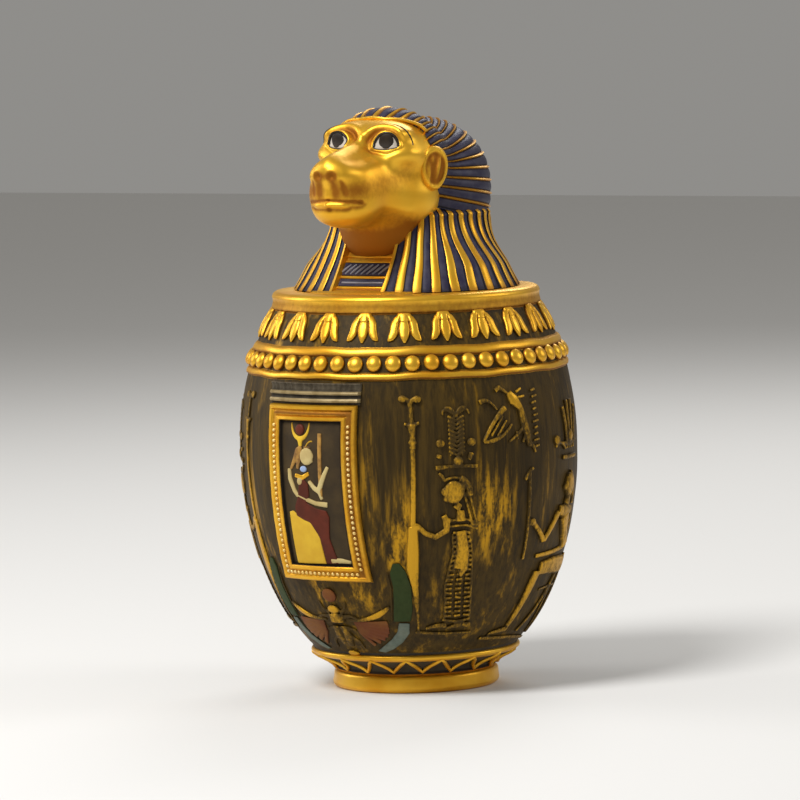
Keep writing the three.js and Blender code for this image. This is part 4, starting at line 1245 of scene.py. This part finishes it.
head = {
    "core": (0, 20, 35),
    "blend": 5.0,
    "cells": 92,
    "forms": [
        ((0, 11, 45.2), (20.3, 18.6, 14.2)),  # skull
        ((8.5, 22, 53.2), (8.2, 5.5, 3.0)),  # brow
        ((0, 13, 32), (20.5, 19, 16)),  # cheeks
        ((0, 28, 35.8), (14, 17.5, 12.4)),  # muzzle
        ((0, 39, 34.2), (12, 10.2, 10.7)),  # its blunt end
        ((0, 44.6, 42.0), (5.6, 4.8, 3.3)),  # nose
        ((0, 38, 27.8), (9.0, 8.6, 3.8)),  # chin
        ((12.5, 21, 46), (6.5, 6.5, 3.4)),  # cheekbone
        ((0, 31.5, 46.2), (3.0, 6, 2.8)),  # bridge of the nose, in three parts
        ((0, 38.5, 44.2), (3.0, 6, 2.6)),
        ((0, 45, 42.6), (3.2, 5, 2.3)),
        ((4.3, 45.8, 40.0), (1.8, 2.6, 2.1)),  # nostril wing
        ((0, 13, 18), (14.2, 13.5, 10)),  # throat
    ],
    # lines over the face, each with how far it rises, how wide it is and how much painted shade it gets;
    # below 0 takes painted shade away, a painted highlight on a lit ridge
    "folds": [
        ([(17.2, 24.5, 47.2), (15, 27.5, 45.9), (11.8, 32, 43.8), (9.4, 41, 41.6), (6.8, 47, 40.3)], 0.35,
         2.2, -0.25),
        ([(17.5, 24, 40.5), (14.6, 31, 38.0), (11.6, 40, 36.2), (9.0, 46, 35.0)], -0.45, 4.5, 0.42),
        ([(6.6, 30.5, 48), (6.2, 37, 46), (5, 43, 44.6)], -0.4, 2.2, 0.2),
        ([(0, 27, 52.5), (0, 33, 49.6), (0, 42, 46.5), (0, 46, 45)], 0.35, 1.8, -0.1),
        ([(0, 50, 32.0), (3, 49.7, 31.8), (6, 47.8, 31.6), (8.6, 45.5, 31.5), (10.2, 44, 31.2)], -0.6, 0.5,
         0.8),
        ([(10.2, 44, 31.2), (11.1, 43, 30.3), (10.2, 43.8, 29.5), (7.6, 46.3, 29.4)], -0.3, 0.6, 0.5),
        ([(0, 50, 30.5), (3.0, 49.7, 30.4), (5.4, 48.4, 30.3)], 0.65, 0.8, -0.4),
        ([(0, 48.8, 29.0), (3.5, 48, 28.9), (6.5, 46.2, 29.0)], -0.45, 0.7, 0.6),
        ([(5.4, 48.2, 38.5), (6.0, 47.7, 36.4), (6.2, 47.4, 34.4)], -0.3, 0.7, 0.5),
        ([(0, 51, 38.4), (0, 51, 33.4)], 0.25, 0.7, -0.3),
        ([(2.9, 50, 37.4), (3.2, 49.8, 35.4), (3.2, 49.5, 33.8)], -0.2, 1.2, 0.5),
        ([(10.5, 39.5, 28.6), (13.5, 33, 28.6), (16.6, 23, 27.8)], 0.3, 2.0, -0.15),
        ([(12.5, 33, 25.2), (15, 25, 24), (16.6, 16, 21.5)], 0.0, 3.0, 0.45),
    ],
    "nostril": (2.6, 49.8, 40.2),
}
eye = {
    "centre": {1: (10.6, 27.8, 49.1), -1: (-8.2, 28.3, 49.7)},
    "facing": (0.40, 0.917, 0.30),
    "width": 4.3,
    "upper": 4.5,
    "lower": 1.1,
    "iris": (0.05, 1.75, 2.55),  # place aside and up, and radius
    "browLine": (4.6, 3.9),  # how far the dark line over the brow stands off the eye, aside and up
}


def pathDistance(places, path):  # the distance to a line through the points
    nearest = np.full(len(places), 1e3)
    for start, end in zip(path, path[1:]):
        along = end - start
        share = np.clip((places - start) @ along / max(along @ along, 1e-9), 0, 1)
        nearest = np.minimum(nearest, np.linalg.norm(places - start - share[:, None] * along, axis=1))
    return nearest


def headForms():
    return bothSides(head["forms"])


def ontoHead(points):  # moves points onto the head along rays from its core
    core = np.array(head["core"], dtype=float)
    directions = unit(np.array(points, dtype=float) - core)
    return surfaceAlong(np.tile(core, (len(directions), 1)), directions, headForms(), head["blend"])


class EyeFrame:
    def __init__(self, side):
        self.facing = unit(np.array([side * eye["facing"][0], *eye["facing"][1:]]))
        self.aside = unit(np.array([side * abs(self.facing[1]), -abs(self.facing[0]), 0.0]))
        self.up = unit(np.array([0, 0, 1.0]) - self.facing * self.facing[2])
        self.origin = ontoHead([eye["centre"][side]])[0]

    def flat(self, places):  # aside, up and out
        offset = places - self.origin
        return offset @ self.aside, offset @ self.up, offset @ self.facing

    def onSkin(self, aside, up, out):
        aside, up = np.asarray(aside, dtype=float), np.asarray(up, dtype=float)
        starts = self.origin + aside[:, None] * self.aside + up[:, None] * self.up - 8 * self.facing
        directions = np.tile(self.facing, (len(starts), 1))
        skin = surfaceAlong(starts, directions, headForms(), head["blend"], far=14.0, step=0.5)
        return skin + np.asarray(out)[:, None] * self.facing


def lidEdge(aside, up):  # the distance out from the edge of the eye's opening
    height = np.where(up > 0, eye["upper"], eye["lower"])
    share = np.hypot(aside / eye["width"], up / height)
    return (share - 1) * np.hypot(aside, up) / np.maximum(share, 1e-6)


def makeHead():
    bpy.ops.mesh.primitive_cube_add(size=2)
    obj = named("face")
    edited(obj, lambda: bpy.ops.mesh.subdivide(number_cuts=head["cells"] - 1))
    directions = unit(np.tan(pointsOf(obj) * math.pi / 4))
    core = np.tile(np.array(head["core"], dtype=float), (len(directions), 1))
    skin = surfaceAlong(core, directions, headForms(), head["blend"])
    movePoints(obj, skin)
    modified(obj, "SMOOTH", factor=0.5, iterations=3)
    skin = pointsOf(obj)
    normals = normalsOf(obj)
    rise = np.zeros(len(skin))
    paintedShade = np.zeros(len(skin))
    for side in (1, -1):
        frame = EyeFrame(side)
        aside, up, out = frame.flat(skin)
        near = softStep(out, -9, -5) * (np.abs(aside) < 16) * (np.abs(up) < 14)
        edge = lidEdge(aside, up)
        upper = softStep(up, -1.8, 0.6)
        inner = softStep(aside, 1.5, -4)
        lean = -0.18 * aside  # the brow stands further off on the side of the nose
        rise += near * (-1.0 * softStep(edge, 0.3, -0.5) + (0.35 + 0.4 * upper) * bump(edge, 0.6, 0.55))
        browOver = softStep(up, 0.8, 4.0)
        rise += near * browOver * (-0.8 * bump(edge, 1.7 + lean, 0.85) + 0.6 * bump(edge, 3.2 + lean, 1.0))
        rise -= near * inner * 0.6 * bump(edge, 2.0, 1.2) * softStep(up, -3.0, 0.5)
        rise -= near * 0.3 * bump(edge, 1.6, 0.6) * softStep(up, 0, -1)
        # painted shade in the groove over the eye and by its inner corner
        paintedShade += near * (0.7 * browOver * bump(edge, 1.7 + lean, 0.9) + 0.45 * inner * bump(edge, 2.0, 1.5))
        for path, height, width, shadeTone in head["folds"]:
            away = pathDistance(skin, ontoHead([(side * p[0], p[1], p[2]) for p in path]))
            share = 0.5 if path[0][0] == path[-1][0] == 0 else 1.0  # a fold on the middle line is met twice
            rise += share * height * bump(away, 0, width)
            paintedShade += share * shadeTone * bump(away, 0, width * 1.2)
        nostril = np.linalg.norm(skin - ontoHead([(side * head["nostril"][0], *head["nostril"][1:])])[0],
                                 axis=1)
        rise += -1.0 * bump(nostril, 0, 0.9) + 0.3 * bump(nostril, 1.9, 0.6)
        # painted shade in the nostril
        paintedShade += 0.8 * bump(nostril, 0, 1.5)
    # painted shade under the nose, on the upper lip, under the jaw and on the throat
    front = softStep(skin[:, 1], 40, 45)
    paintedShade += 0.55 * front * bump(skin[:, 2], 40.6, 1.9) * softStep(np.abs(skin[:, 0]), 5.5, 4)
    paintedShade += 0.3 * front * bump(skin[:, 2], 35.5, 3.2)
    paintedShade += (0.7 * softStep(skin[:, 2], 24.5, 17)
               + 0.35 * softStep(skin[:, 2], 27, 21) * softStep(skin[:, 1], 42, 25))
    movePoints(obj, lidPlace(skin + normals * rise[:, None]))
    modified(obj, "SMOOTH", factor=0.4, iterations=1)
    addShade(obj, "paintedShade", np.clip(paintedShade, 0, 1))
    return smoothed(lidFinished(obj, "painted_gold", finish["faceGold"]))


def makeLens(name, frame, middle, radii, rise, lift):  # a low dome on the face, its edge on the skin
    bpy.ops.mesh.primitive_uv_sphere_add(segments=40, ring_count=20, radius=1)
    obj = named(name)
    places = pointsOf(obj)
    up = places[:, 1] * np.where(places[:, 1] > 0, radii[1], radii[2])
    movePoints(obj, lidPlace(frame.onSkin(middle[0] + places[:, 0] * radii[0], middle[1] + up,
                                          lift + places[:, 2] * rise)))
    return obj


def makeEyes():
    whites, irises, liners, browLines = [], [], [], []
    for side in (1, -1):
        frame = EyeFrame(side)
        whites.append(makeLens("white", frame, (0, 0), (eye["width"], eye["upper"], eye["lower"]), 0.85,
                               -0.35))
        aside, up, radius = eye["iris"]
        irises.append(makeLens("iris", frame, (aside, up), (radius, radius, radius), 0.35, 0.32))
        turns = np.radians(np.linspace(2, 178, 26))
        edge = frame.onSkin(np.cos(turns) * eye["width"], np.sin(turns) * eye["upper"], np.full(26, 0.15))
        liners.append(tubeAlong("liner", lidPlace(edge), np.linspace(0.62, 0.42, 26)))
        turns = np.radians(np.linspace(180, 360, 20))
        edge = frame.onSkin(np.cos(turns) * eye["width"], np.sin(turns) * eye["lower"], np.full(20, 0.05))
        liners.append(tubeAlong("liner", lidPlace(edge), 0.16))
        turns = np.radians(np.linspace(6, 100, 20))
        browLine = frame.onSkin(np.cos(turns) * (eye["width"] + eye["browLine"][0]),
                                np.sin(turns) * (eye["upper"] + eye["browLine"][1]), np.full(20, -0.08))
        browLines.append(tubeAlong("line", lidPlace(browLine), np.linspace(0.28, 0.32, 20)))
    lidFinished(joined(whites, "eyeWhites"), "painted_gold", finish["eyeWhite"])
    lidFinished(joined(irises, "irises"), "painted_gold", finish["iris"])
    lidFinished(joined(liners, "eyeLiners"), "painted_gold", finish["eyeBlack"])
    lidFinished(joined(browLines, "browLines"), "painted_gold", finish["eyeBlack"])
    for name in ("eyeWhites", "irises", "eyeLiners", "browLines"):
        smoothed(bpy.data.objects[name])


ear = {"centre": (20.6, 13.5, 41.2), "size": (5.4, 7.6), "thick": 2.4, "facing": 60}


def makeEars():
    parts = []
    shades = []
    for side in (1, -1):
        bpy.ops.mesh.primitive_uv_sphere_add(segments=72, ring_count=48, radius=1)
        obj = named("ear")
        p, q, out = pointsOf(obj).T
        ring = np.hypot(p, q)
        hollow = softStep(ring, 0.88, 0.6) * (out > 0)
        tragus = bump(np.hypot((p + 0.52) / 0.8, (q + 0.18) / 2.2), 0, 0.24)
        fold = bump(np.hypot((p - 0.18 - 0.25 * q) / 0.7, (q - 0.05) / 2.6), 0, 0.22)
        inner = bump(np.hypot((p + 0.18) / 0.7, (q - 0.42) / 1.1), 0, 0.2)
        depth = out * ear["thick"] + (out > 0) * (-1.0 * hollow + 0.95 * fold + 1.0 * tragus + 0.6 * inner)
        depth += (out > 0) * 0.25 * bump(ring, 0.84, 0.1)
        depth = np.where(out < 0, depth * 2.2, depth)  # rooted in the head
        turn = math.radians(ear["facing"])
        facing = np.array([math.sin(turn), math.cos(turn), 0])
        forward = np.array([-math.cos(turn), math.sin(turn), 0])
        taper = 1 + 0.14 * q
        places = (np.array(ear["centre"]) - (p * taper * ear["size"][0])[:, None] * forward
                  + (q * ear["size"][1])[:, None] * np.array([0, -0.06, 1.0]) + depth[:, None] * facing)
        places[:, 0] *= side
        movePoints(obj, lidPlace(places))
        parts.append(obj)
        # painted shade in the ear's hollow, less on its folds and the tragus
        shades.append(np.clip(hollow * (0.95 - 0.6 * fold - 0.6 * tragus - 0.4 * inner), 0, 1))
    obj = joined(parts, "ears")
    addShade(obj, "paintedShade", np.concatenate(shades))
    return smoothed(lidFinished(obj, "painted_gold", finish["faceGold"]))


# the hood is combed from its front edge to the middle of the back by gold ribs
hood = {
    "core": (0, -2, 36),
    "forms": [((0, -10, 36), (25.6, 25.2, 22.4)), ((0, 9, 42.5), (22.5, 17, 19.8)),
              ((0, -7, 28), (26.5, 25.5, 24))],
    "blend": 4.0,
    # where each rib starts on the front edge, from the top to the hood's lower edge,
    # and the climb in degrees at which it ends on the middle line of the back
    "starts": [(0, 18.8, 58.6), (4.9, 18.8, 58.1), (9.6, 16.9, 57.8), (13.6, 14.9, 56.7), (15.7, 13.6, 55.6),
               (17.6, 13.2, 53.9), (18.9, 14, 51.4), (20.3, 13.6, 49.1), (21.7, 10.7, 47.2),
               (22.3, 8.5, 45.2),
               (22.3, 6.6, 43.4), (22.3, 6.8, 41.3), (22.2, 7.2, 38.1), (21.1, 10.3, 35.1),
               (20.1, 10.8, 31.9),
               (19.6, 11.4, 27.6)],
    "climbs": [82, 76, 70, 64, 58, 50, 43, 36, 28, 21, 14, 5, -1.5, -8.5, -15, -21],
    # the place each rib passes on the side of the hood
    "passing": [(0, -3, 58.6), (2.4, -3.4, 58.5), (4.8, -4, 58.2), (7.4, -4.6, 57.8), (9.9, -5.2, 57),
                (12.2, -5.7, 55.9), (14.4, -6.2, 54.7), (16.6, -6.9, 52.8), (19.1, -7.8, 50.1),
                (21.7, -8.2, 47.4),
                (23.8, -8.1, 44.2), (25.1, -7.6, 40.6), (25.8, -7.8, 36.6), (26.4, -8, 32.4),
                (26.6, -8.2, 27.9),
                (26, -8, 23.6)],
    "borderRibs": 5,  # the border runs over the top, this many ribs to each side
    "cells": 8,  # columns from a rib to the next
    "rows": 64,
    "ribHeight": 0.5,
    "sunk": 0.5,
    "border": 0.6,
}


def hoodSurface(directions):
    core = np.tile(np.array(hood["core"], dtype=float), (len(directions), 1))
    return surfaceAlong(core, directions, hood["forms"], hood["blend"])


def hoodDirections(rib, share):  # rib counts from the middle of the top, below 0 on the other side
    count = np.arange(len(hood["starts"]))
    starts = np.array(hood["starts"], dtype=float)
    side = np.sign(rib)
    place = np.stack([np.interp(np.abs(rib), count, starts[:, axis]) for axis in range(3)], axis=1)
    place[:, 0] *= np.where(side < 0, -1, 1)
    passing = np.array(hood["passing"], dtype=float)
    middle = np.stack([np.interp(np.abs(rib), count, passing[:, axis]) for axis in range(3)], axis=1)
    middle[:, 0] *= np.where(side < 0, -1, 1)
    start, middle = unit(place - np.array(hood["core"])), unit(middle - np.array(hood["core"]))
    climb = np.radians(np.interp(np.abs(rib), count, hood["climbs"]))
    end = np.stack([0 * climb, -np.cos(climb), np.sin(climb)], axis=1)
    first = np.arccos(np.clip((start * middle).sum(axis=1), -1, 1))
    second = np.arccos(np.clip((middle * end).sum(axis=1), -1, 1))
    # the share of the way at which it passes the middle place
    met = np.clip(first / (first + second), 0.15, 0.85)
    weights = ((share - met) * (share - 1) / met, share * (share - 1) / (met * (met - 1)),
               share * (share - met) / (1 - met))
    return unit(sum(weight[:, None] * place for weight, place in zip(weights, (start, middle, end))))


def makeHood():
    last = len(hood["starts"]) - 1
    columns = 2 * last * hood["cells"]
    bpy.ops.mesh.primitive_grid_add(x_subdivisions=columns, y_subdivisions=hood["rows"], size=1)
    obj = named("hood")
    flat = pointsOf(obj)
    rib = (flat[:, 0] + 0.5) * 2 * last - last
    share = flat[:, 1] + 0.5
    offset = rib - np.round(rib)
    half = 1 / hood["cells"]  # half a rib's width, as a share of the way to the next rib
    ribHalf = half * (1 + softStep(share, 0.30, 0.0) * softStep(np.abs(rib), 7, 3))
    between = ribHalf + (np.abs(offset) - half) * (0.5 - ribHalf) / (0.5 - half)
    spreadOut = np.where(np.abs(offset) <= half, offset / half * ribHalf, np.sign(offset) * between)
    skin = hoodSurface(hoodDirections(np.round(rib) + spreadOut, share))
    fromRib = np.abs(offset)
    onRib = (fromRib < half / 2) & (np.abs(rib) < last - 0.5)
    valley = -0.22 * bump(fromRib, half, 0.05) + 0.16 * bump(fromRib, 0.5, 0.2)
    rise = np.where(onRib, hood["ribHeight"], valley) * softStep(share, 1.0, 0.85) - hood["sunk"]
    out = unit(skin - np.array(hood["core"]))
    movePoints(obj, lidPlace(skin + out * rise[:, None]))
    goldFaces = []
    for face in obj.data.polygons:
        middle = np.mean([rib[v] for v in face.vertices])
        ribbed = abs(middle - round(middle)) < 0.9 * half and abs(middle) < last - 0.5
        goldFaces.append(0 if ribbed else 1)
    obj.data.materials.append(finish["gold"])
    obj.data.materials.append(finish["indigo"])
    obj.data.polygons.foreach_set("material_index", goldFaces)
    # painted shade along the edges of each rib, and over the ribs further back on the hood
    shade = np.clip(bump(fromRib, half, 0.06) + 0.45 * softStep(share, 0.3, 0.9) * onRib, 0, 1)
    addShade(obj, "paintedShade", shade)
    closeTowards(obj, lidPlace([hood["core"]])[0])
    lidFinished(obj, "painted_gold", finish["gold"], finish["indigo"])
    return smoothed(obj, 50)


def closeTowards(obj, centre):  # closes an open sheet with a cone to a point inside it
    pick(obj)
    bpy.ops.object.mode_set(mode="EDIT")
    bpy.ops.mesh.select_all(action="SELECT")
    bpy.ops.mesh.remove_doubles(threshold=0.004)
    bpy.ops.mesh.region_to_loop()
    bpy.ops.mesh.extrude_edges_move()
    bpy.ops.transform.resize(value=(0, 0, 0), center_override=tuple(centre))
    bpy.ops.mesh.merge(type="CENTER")
    bpy.ops.mesh.select_all(action="SELECT")
    bpy.ops.mesh.normals_make_consistent(inside=False)
    bpy.ops.object.mode_set(mode="OBJECT")


def makeHoodBorder():
    rib = np.linspace(-hood["borderRibs"], hood["borderRibs"], 90)
    edge = hoodSurface(hoodDirections(rib, np.full(90, 0.006)))
    obj = tubeAlong("hoodBorder", lidPlace(edge), hood["border"], sides=12)
    return smoothed(lidFinished(obj, "painted_gold", finish["gold"]))


lappet = {
    "side": (39.4, 29.4),  # radius at the rim and at the waist
    "front": (33.5, 19.0),
    "back": (37.5, 29.4),
    "rise": 27.5,
    "top": 25.5,  # where they end under the hood
    "drawnIn": 7,  # from here up they draw in to the hood
    "halfGap": 9.6,
    "ribs": 32,
    "rows": 46,
    "ribHeight": 0.55,
    "thick": 5.0,
}


def skirtRadius(angle, height):
    ease = 1 - (1 - np.clip(height / lappet["rise"], 0, 1)) ** 1.55
    side, front, back = (low + (high - low) * ease
                         for low, high in (lappet["side"], lappet["front"], lappet["back"]))
    reach = np.where(np.cos(angle) > 0, front, back)
    return 1 / np.hypot(np.sin(angle) / side, np.cos(angle) / reach)


def gapAngle(height):
    angle = np.full(np.shape(height), 0.4)
    for _ in range(12):
        angle = np.arcsin(np.clip(lappet["halfGap"] / skirtRadius(angle, height), -1, 0.95))
    return angle


def makeLappets():
    cuts = np.array([0, 0.10, 0.19, 0.235, 0.265, 0.34, 0.42, 0.5])
    cuts = np.concatenate([cuts, 1 - cuts[-2:0:-1]])
    count = len(cuts)
    columns = lappet["ribs"] * count
    bpy.ops.mesh.primitive_grid_add(x_subdivisions=columns, y_subdivisions=lappet["rows"], size=1)
    obj = named("lappets")
    flat = pointsOf(obj)
    column = np.round((flat[:, 0] + 0.5) * columns).astype(int)
    level = flat[:, 1] + 0.5
    rib = column // count + cuts[column % count]
    height = level * (lappet["top"] + 2)
    gap = gapAngle(height)
    rise = np.clip(height / lappet["rise"], 0, 1)
    half = lappet["ribs"] / 2
    fromFront = np.minimum(rib, lappet["ribs"] - rib)
    pitch = np.radians(10.4 + (8.9 - 10.4) * rise)
    bend = (math.pi - gap - pitch * half) / half ** 2
    angle = gap + pitch * fromFront + bend * fromFront ** 2
    fraction = np.abs(rib - np.round(rib))
    waver = 0.004 * np.sin(height * 0.4 + np.round(rib) * 2.1) * (fraction < 0.3) * (fromFront > 0.5)
    angle = np.where(rib > half, -angle, angle) + waver
    radius = skirtRadius(angle, height)
    origins = np.stack([0 * angle, 0 * angle - 3, np.maximum(height, 24)], axis=1)
    outwards = np.stack([np.sin(angle), np.cos(angle), 0 * angle], axis=1)
    hooded = surfaceAlong(origins, outwards, hood["forms"], hood["blend"])
    hooded = np.hypot(hooded[:, 0], hooded[:, 1]) - 0.4
    drawn = softStep(height, lappet["drawnIn"], lappet["top"]) * softStep(np.abs(angle), 0.8, 1.3)
    radius = radius + (np.minimum(hooded, radius) - radius) * drawn
    radius -= 2.5 * softStep(height, lappet["top"] - 0.5, lappet["top"] + 2)
    onRib = fraction < 0.25
    crown = np.sqrt(np.clip(1 - (fraction / 0.27) ** 2, 0, 1)) * lappet["ribHeight"]
    valley = -0.22 + 0.22 * softStep(fraction, 0.27, 0.45)
    radius = radius + np.where(onRib, crown, valley)
    places = np.stack([radius * np.sin(angle), radius * np.cos(angle), height], axis=1)
    movePoints(obj, lidPlace(places))
    zones = []
    for face in obj.data.polygons:
        middle = np.mean([rib[v] for v in face.vertices])
        zones.append(0 if abs(middle - round(middle)) < 0.25 else 1)
    obj.data.materials.append(finish["gold"])
    obj.data.materials.append(finish["indigo"])
    obj.data.polygons.foreach_set("material_index", zones)
    # painted shade in the creases at each rib's edges, along the lower edge and towards the back
    shade = (0.9 * bump(fraction, 0.262, 0.03) + 0.5 * softStep(level, 0.1, 0)
             + 0.35 * softStep(np.abs(angle), 1.1, 2.6))
    addShade(obj, "paintedShade", np.clip(shade, 0, 1))
    edited(obj, faceOutwards)
    inward = (normalsOf(obj) * (pointsOf(obj) * (1, 1, 0))).sum() < 0
    if inward:
        edited(obj, bpy.ops.mesh.flip_normals)
    modified(obj, "SOLIDIFY", thickness=lappet["thick"], offset=-1)
    lidFinished(obj, "painted_gold", finish["gold"], finish["indigo"])
    return smoothed(obj, 50)


collar = {
    "depth": 2.4,
    "rows": [(-0.2, 0.8), (2.0, 4.2), (5.4, 9.4)],  # the indigo bands, each from one height to another
    "lines": [1.4, 4.8, 9.9, 11.6],
    "strokes": 8,
    "chestTop": 21,
    "sunkBehind": 9,  # how far the chest draws back under the lappets
}


def chestRadius(angle, height):
    return skirtRadius(angle, np.clip(height, 0, lappet["rise"])) - collar["depth"]


def makeChest():
    bpy.ops.mesh.primitive_grid_add(x_subdivisions=96, y_subdivisions=40, size=1)
    obj = named("chest")
    flat = pointsOf(obj)
    angle = flat[:, 0] * 2 * math.pi
    height = (flat[:, 1] + 0.5) * collar["chestTop"]
    radius = chestRadius(angle, height) - collar["sunkBehind"] * softStep(np.abs(angle), 0.55, 1.0)
    movePoints(obj, lidPlace(np.stack([radius * np.sin(angle), radius * np.cos(angle), height], axis=1)))
    # painted shade beside the collar's upper lines and high up under the head
    shade = 0.6 * bump(height, 10.8, 0.5) + 0.6 * bump(height, 12.4, 0.5) + 0.7 * softStep(height, 16, 18)
    addShade(obj, "paintedShade", np.clip(shade, 0, 1))
    closeTowards(obj, (0, 0, lid["seat"] + 8))
    return smoothed(lidFinished(obj, "painted_gold", finish["gold"]), 50)


def chestPath(height, lift, reach=0.98, count=24):
    widest = gapAngle(np.array([min(height, lappet["rise"])]))[0] * reach
    angles = np.linspace(-widest, widest, count)
    radius = chestRadius(angles, np.full(count, height)) + lift
    return np.stack([radius * np.sin(angles), radius * np.cos(angles), np.full(count, height)], axis=1)


def makeCollar():
    bands, lines, strokes = [], [], []
    for low, high in collar["rows"]:
        bpy.ops.mesh.primitive_grid_add(x_subdivisions=24, y_subdivisions=6, size=1)
        obj = named("band")
        flat = pointsOf(obj)
        height = low + (flat[:, 1] + 0.5) * (high - low)
        angle = flat[:, 0] * 2 * gapAngle(height) * 1.04
        radius = chestRadius(angle, height) + 0.12
        movePoints(obj, lidPlace(np.stack([radius * np.sin(angle), radius * np.cos(angle), height], axis=1)))
        modified(obj, "SOLIDIFY", thickness=0.6, offset=0)
        bands.append(obj)
    for height in collar["lines"]:
        thick = 0.62 if height < 8 else 0.42
        lines.append(tubeAlong("line", lidPlace(chestPath(height, 0.2, 1.04)), thick, sides=8))
    low, high = collar["rows"][2]
    for n in range(collar["strokes"]):
        share = (n + 0.3) / collar["strokes"] * 2 - 1
        ends = []
        for height, lean in ((low + 0.5, -0.07), (high - 0.3, 0.07)):
            angle = gapAngle(np.array([height]))[0] * share + lean
            radius = float(chestRadius(angle, height)) + 0.4
            ends.append((radius * math.sin(angle), radius * math.cos(angle), height))
        middle = np.mean(ends, axis=0)
        strokes.append(tubeAlong("stroke", lidPlace([ends[0], middle, ends[1]]), (0.3, 0.55, 0.3), sides=8))
    low, high = collar["rows"][1]
    strokes.append(tubeAlong("stroke", lidPlace(chestPath((low + high) / 2, 0.25, 0.9)), 0.45, sides=8))
    smoothed(lidFinished(joined(bands, "collarBands"), "painted_gold", finish["indigo"]), 40)
    smoothed(lidFinished(joined(lines, "collarLines"), "painted_gold", finish["gold"]))
    smoothed(lidFinished(joined(strokes, "collarStrokes"), "painted_gold", finish["silver"]))


def makePlug():
    radius, depth = lid["plugRadius"], lid["plugDepth"]
    seat = lid["seat"]
    obj = spun("plug", [(0, seat - depth), (radius - 1.2, seat - depth), (radius - 0.4, seat - depth + 0.3),
                        (radius, seat - depth + 1), (radius, seat - 0.2), (radius - 0.6, seat + 0.3),
                        (12, seat + 4), (0, seat + 4)], steps=96)
    # an even painted shade over the plug, which sits inside the jar's mouth
    addShade(obj, "paintedShade", np.full(len(obj.data.vertices), 0.35))
    return smoothed(lidFinished(obj, "painted_gold", finish["gold"]), 40)


makeHead()
makeEyes()
makeEars()
print("stage 8: face")
makeHood()
makeHoodBorder()
makeLappets()
makeChest()
makeCollar()
makePlug()
print("stage 9: hood, lappets and collar")
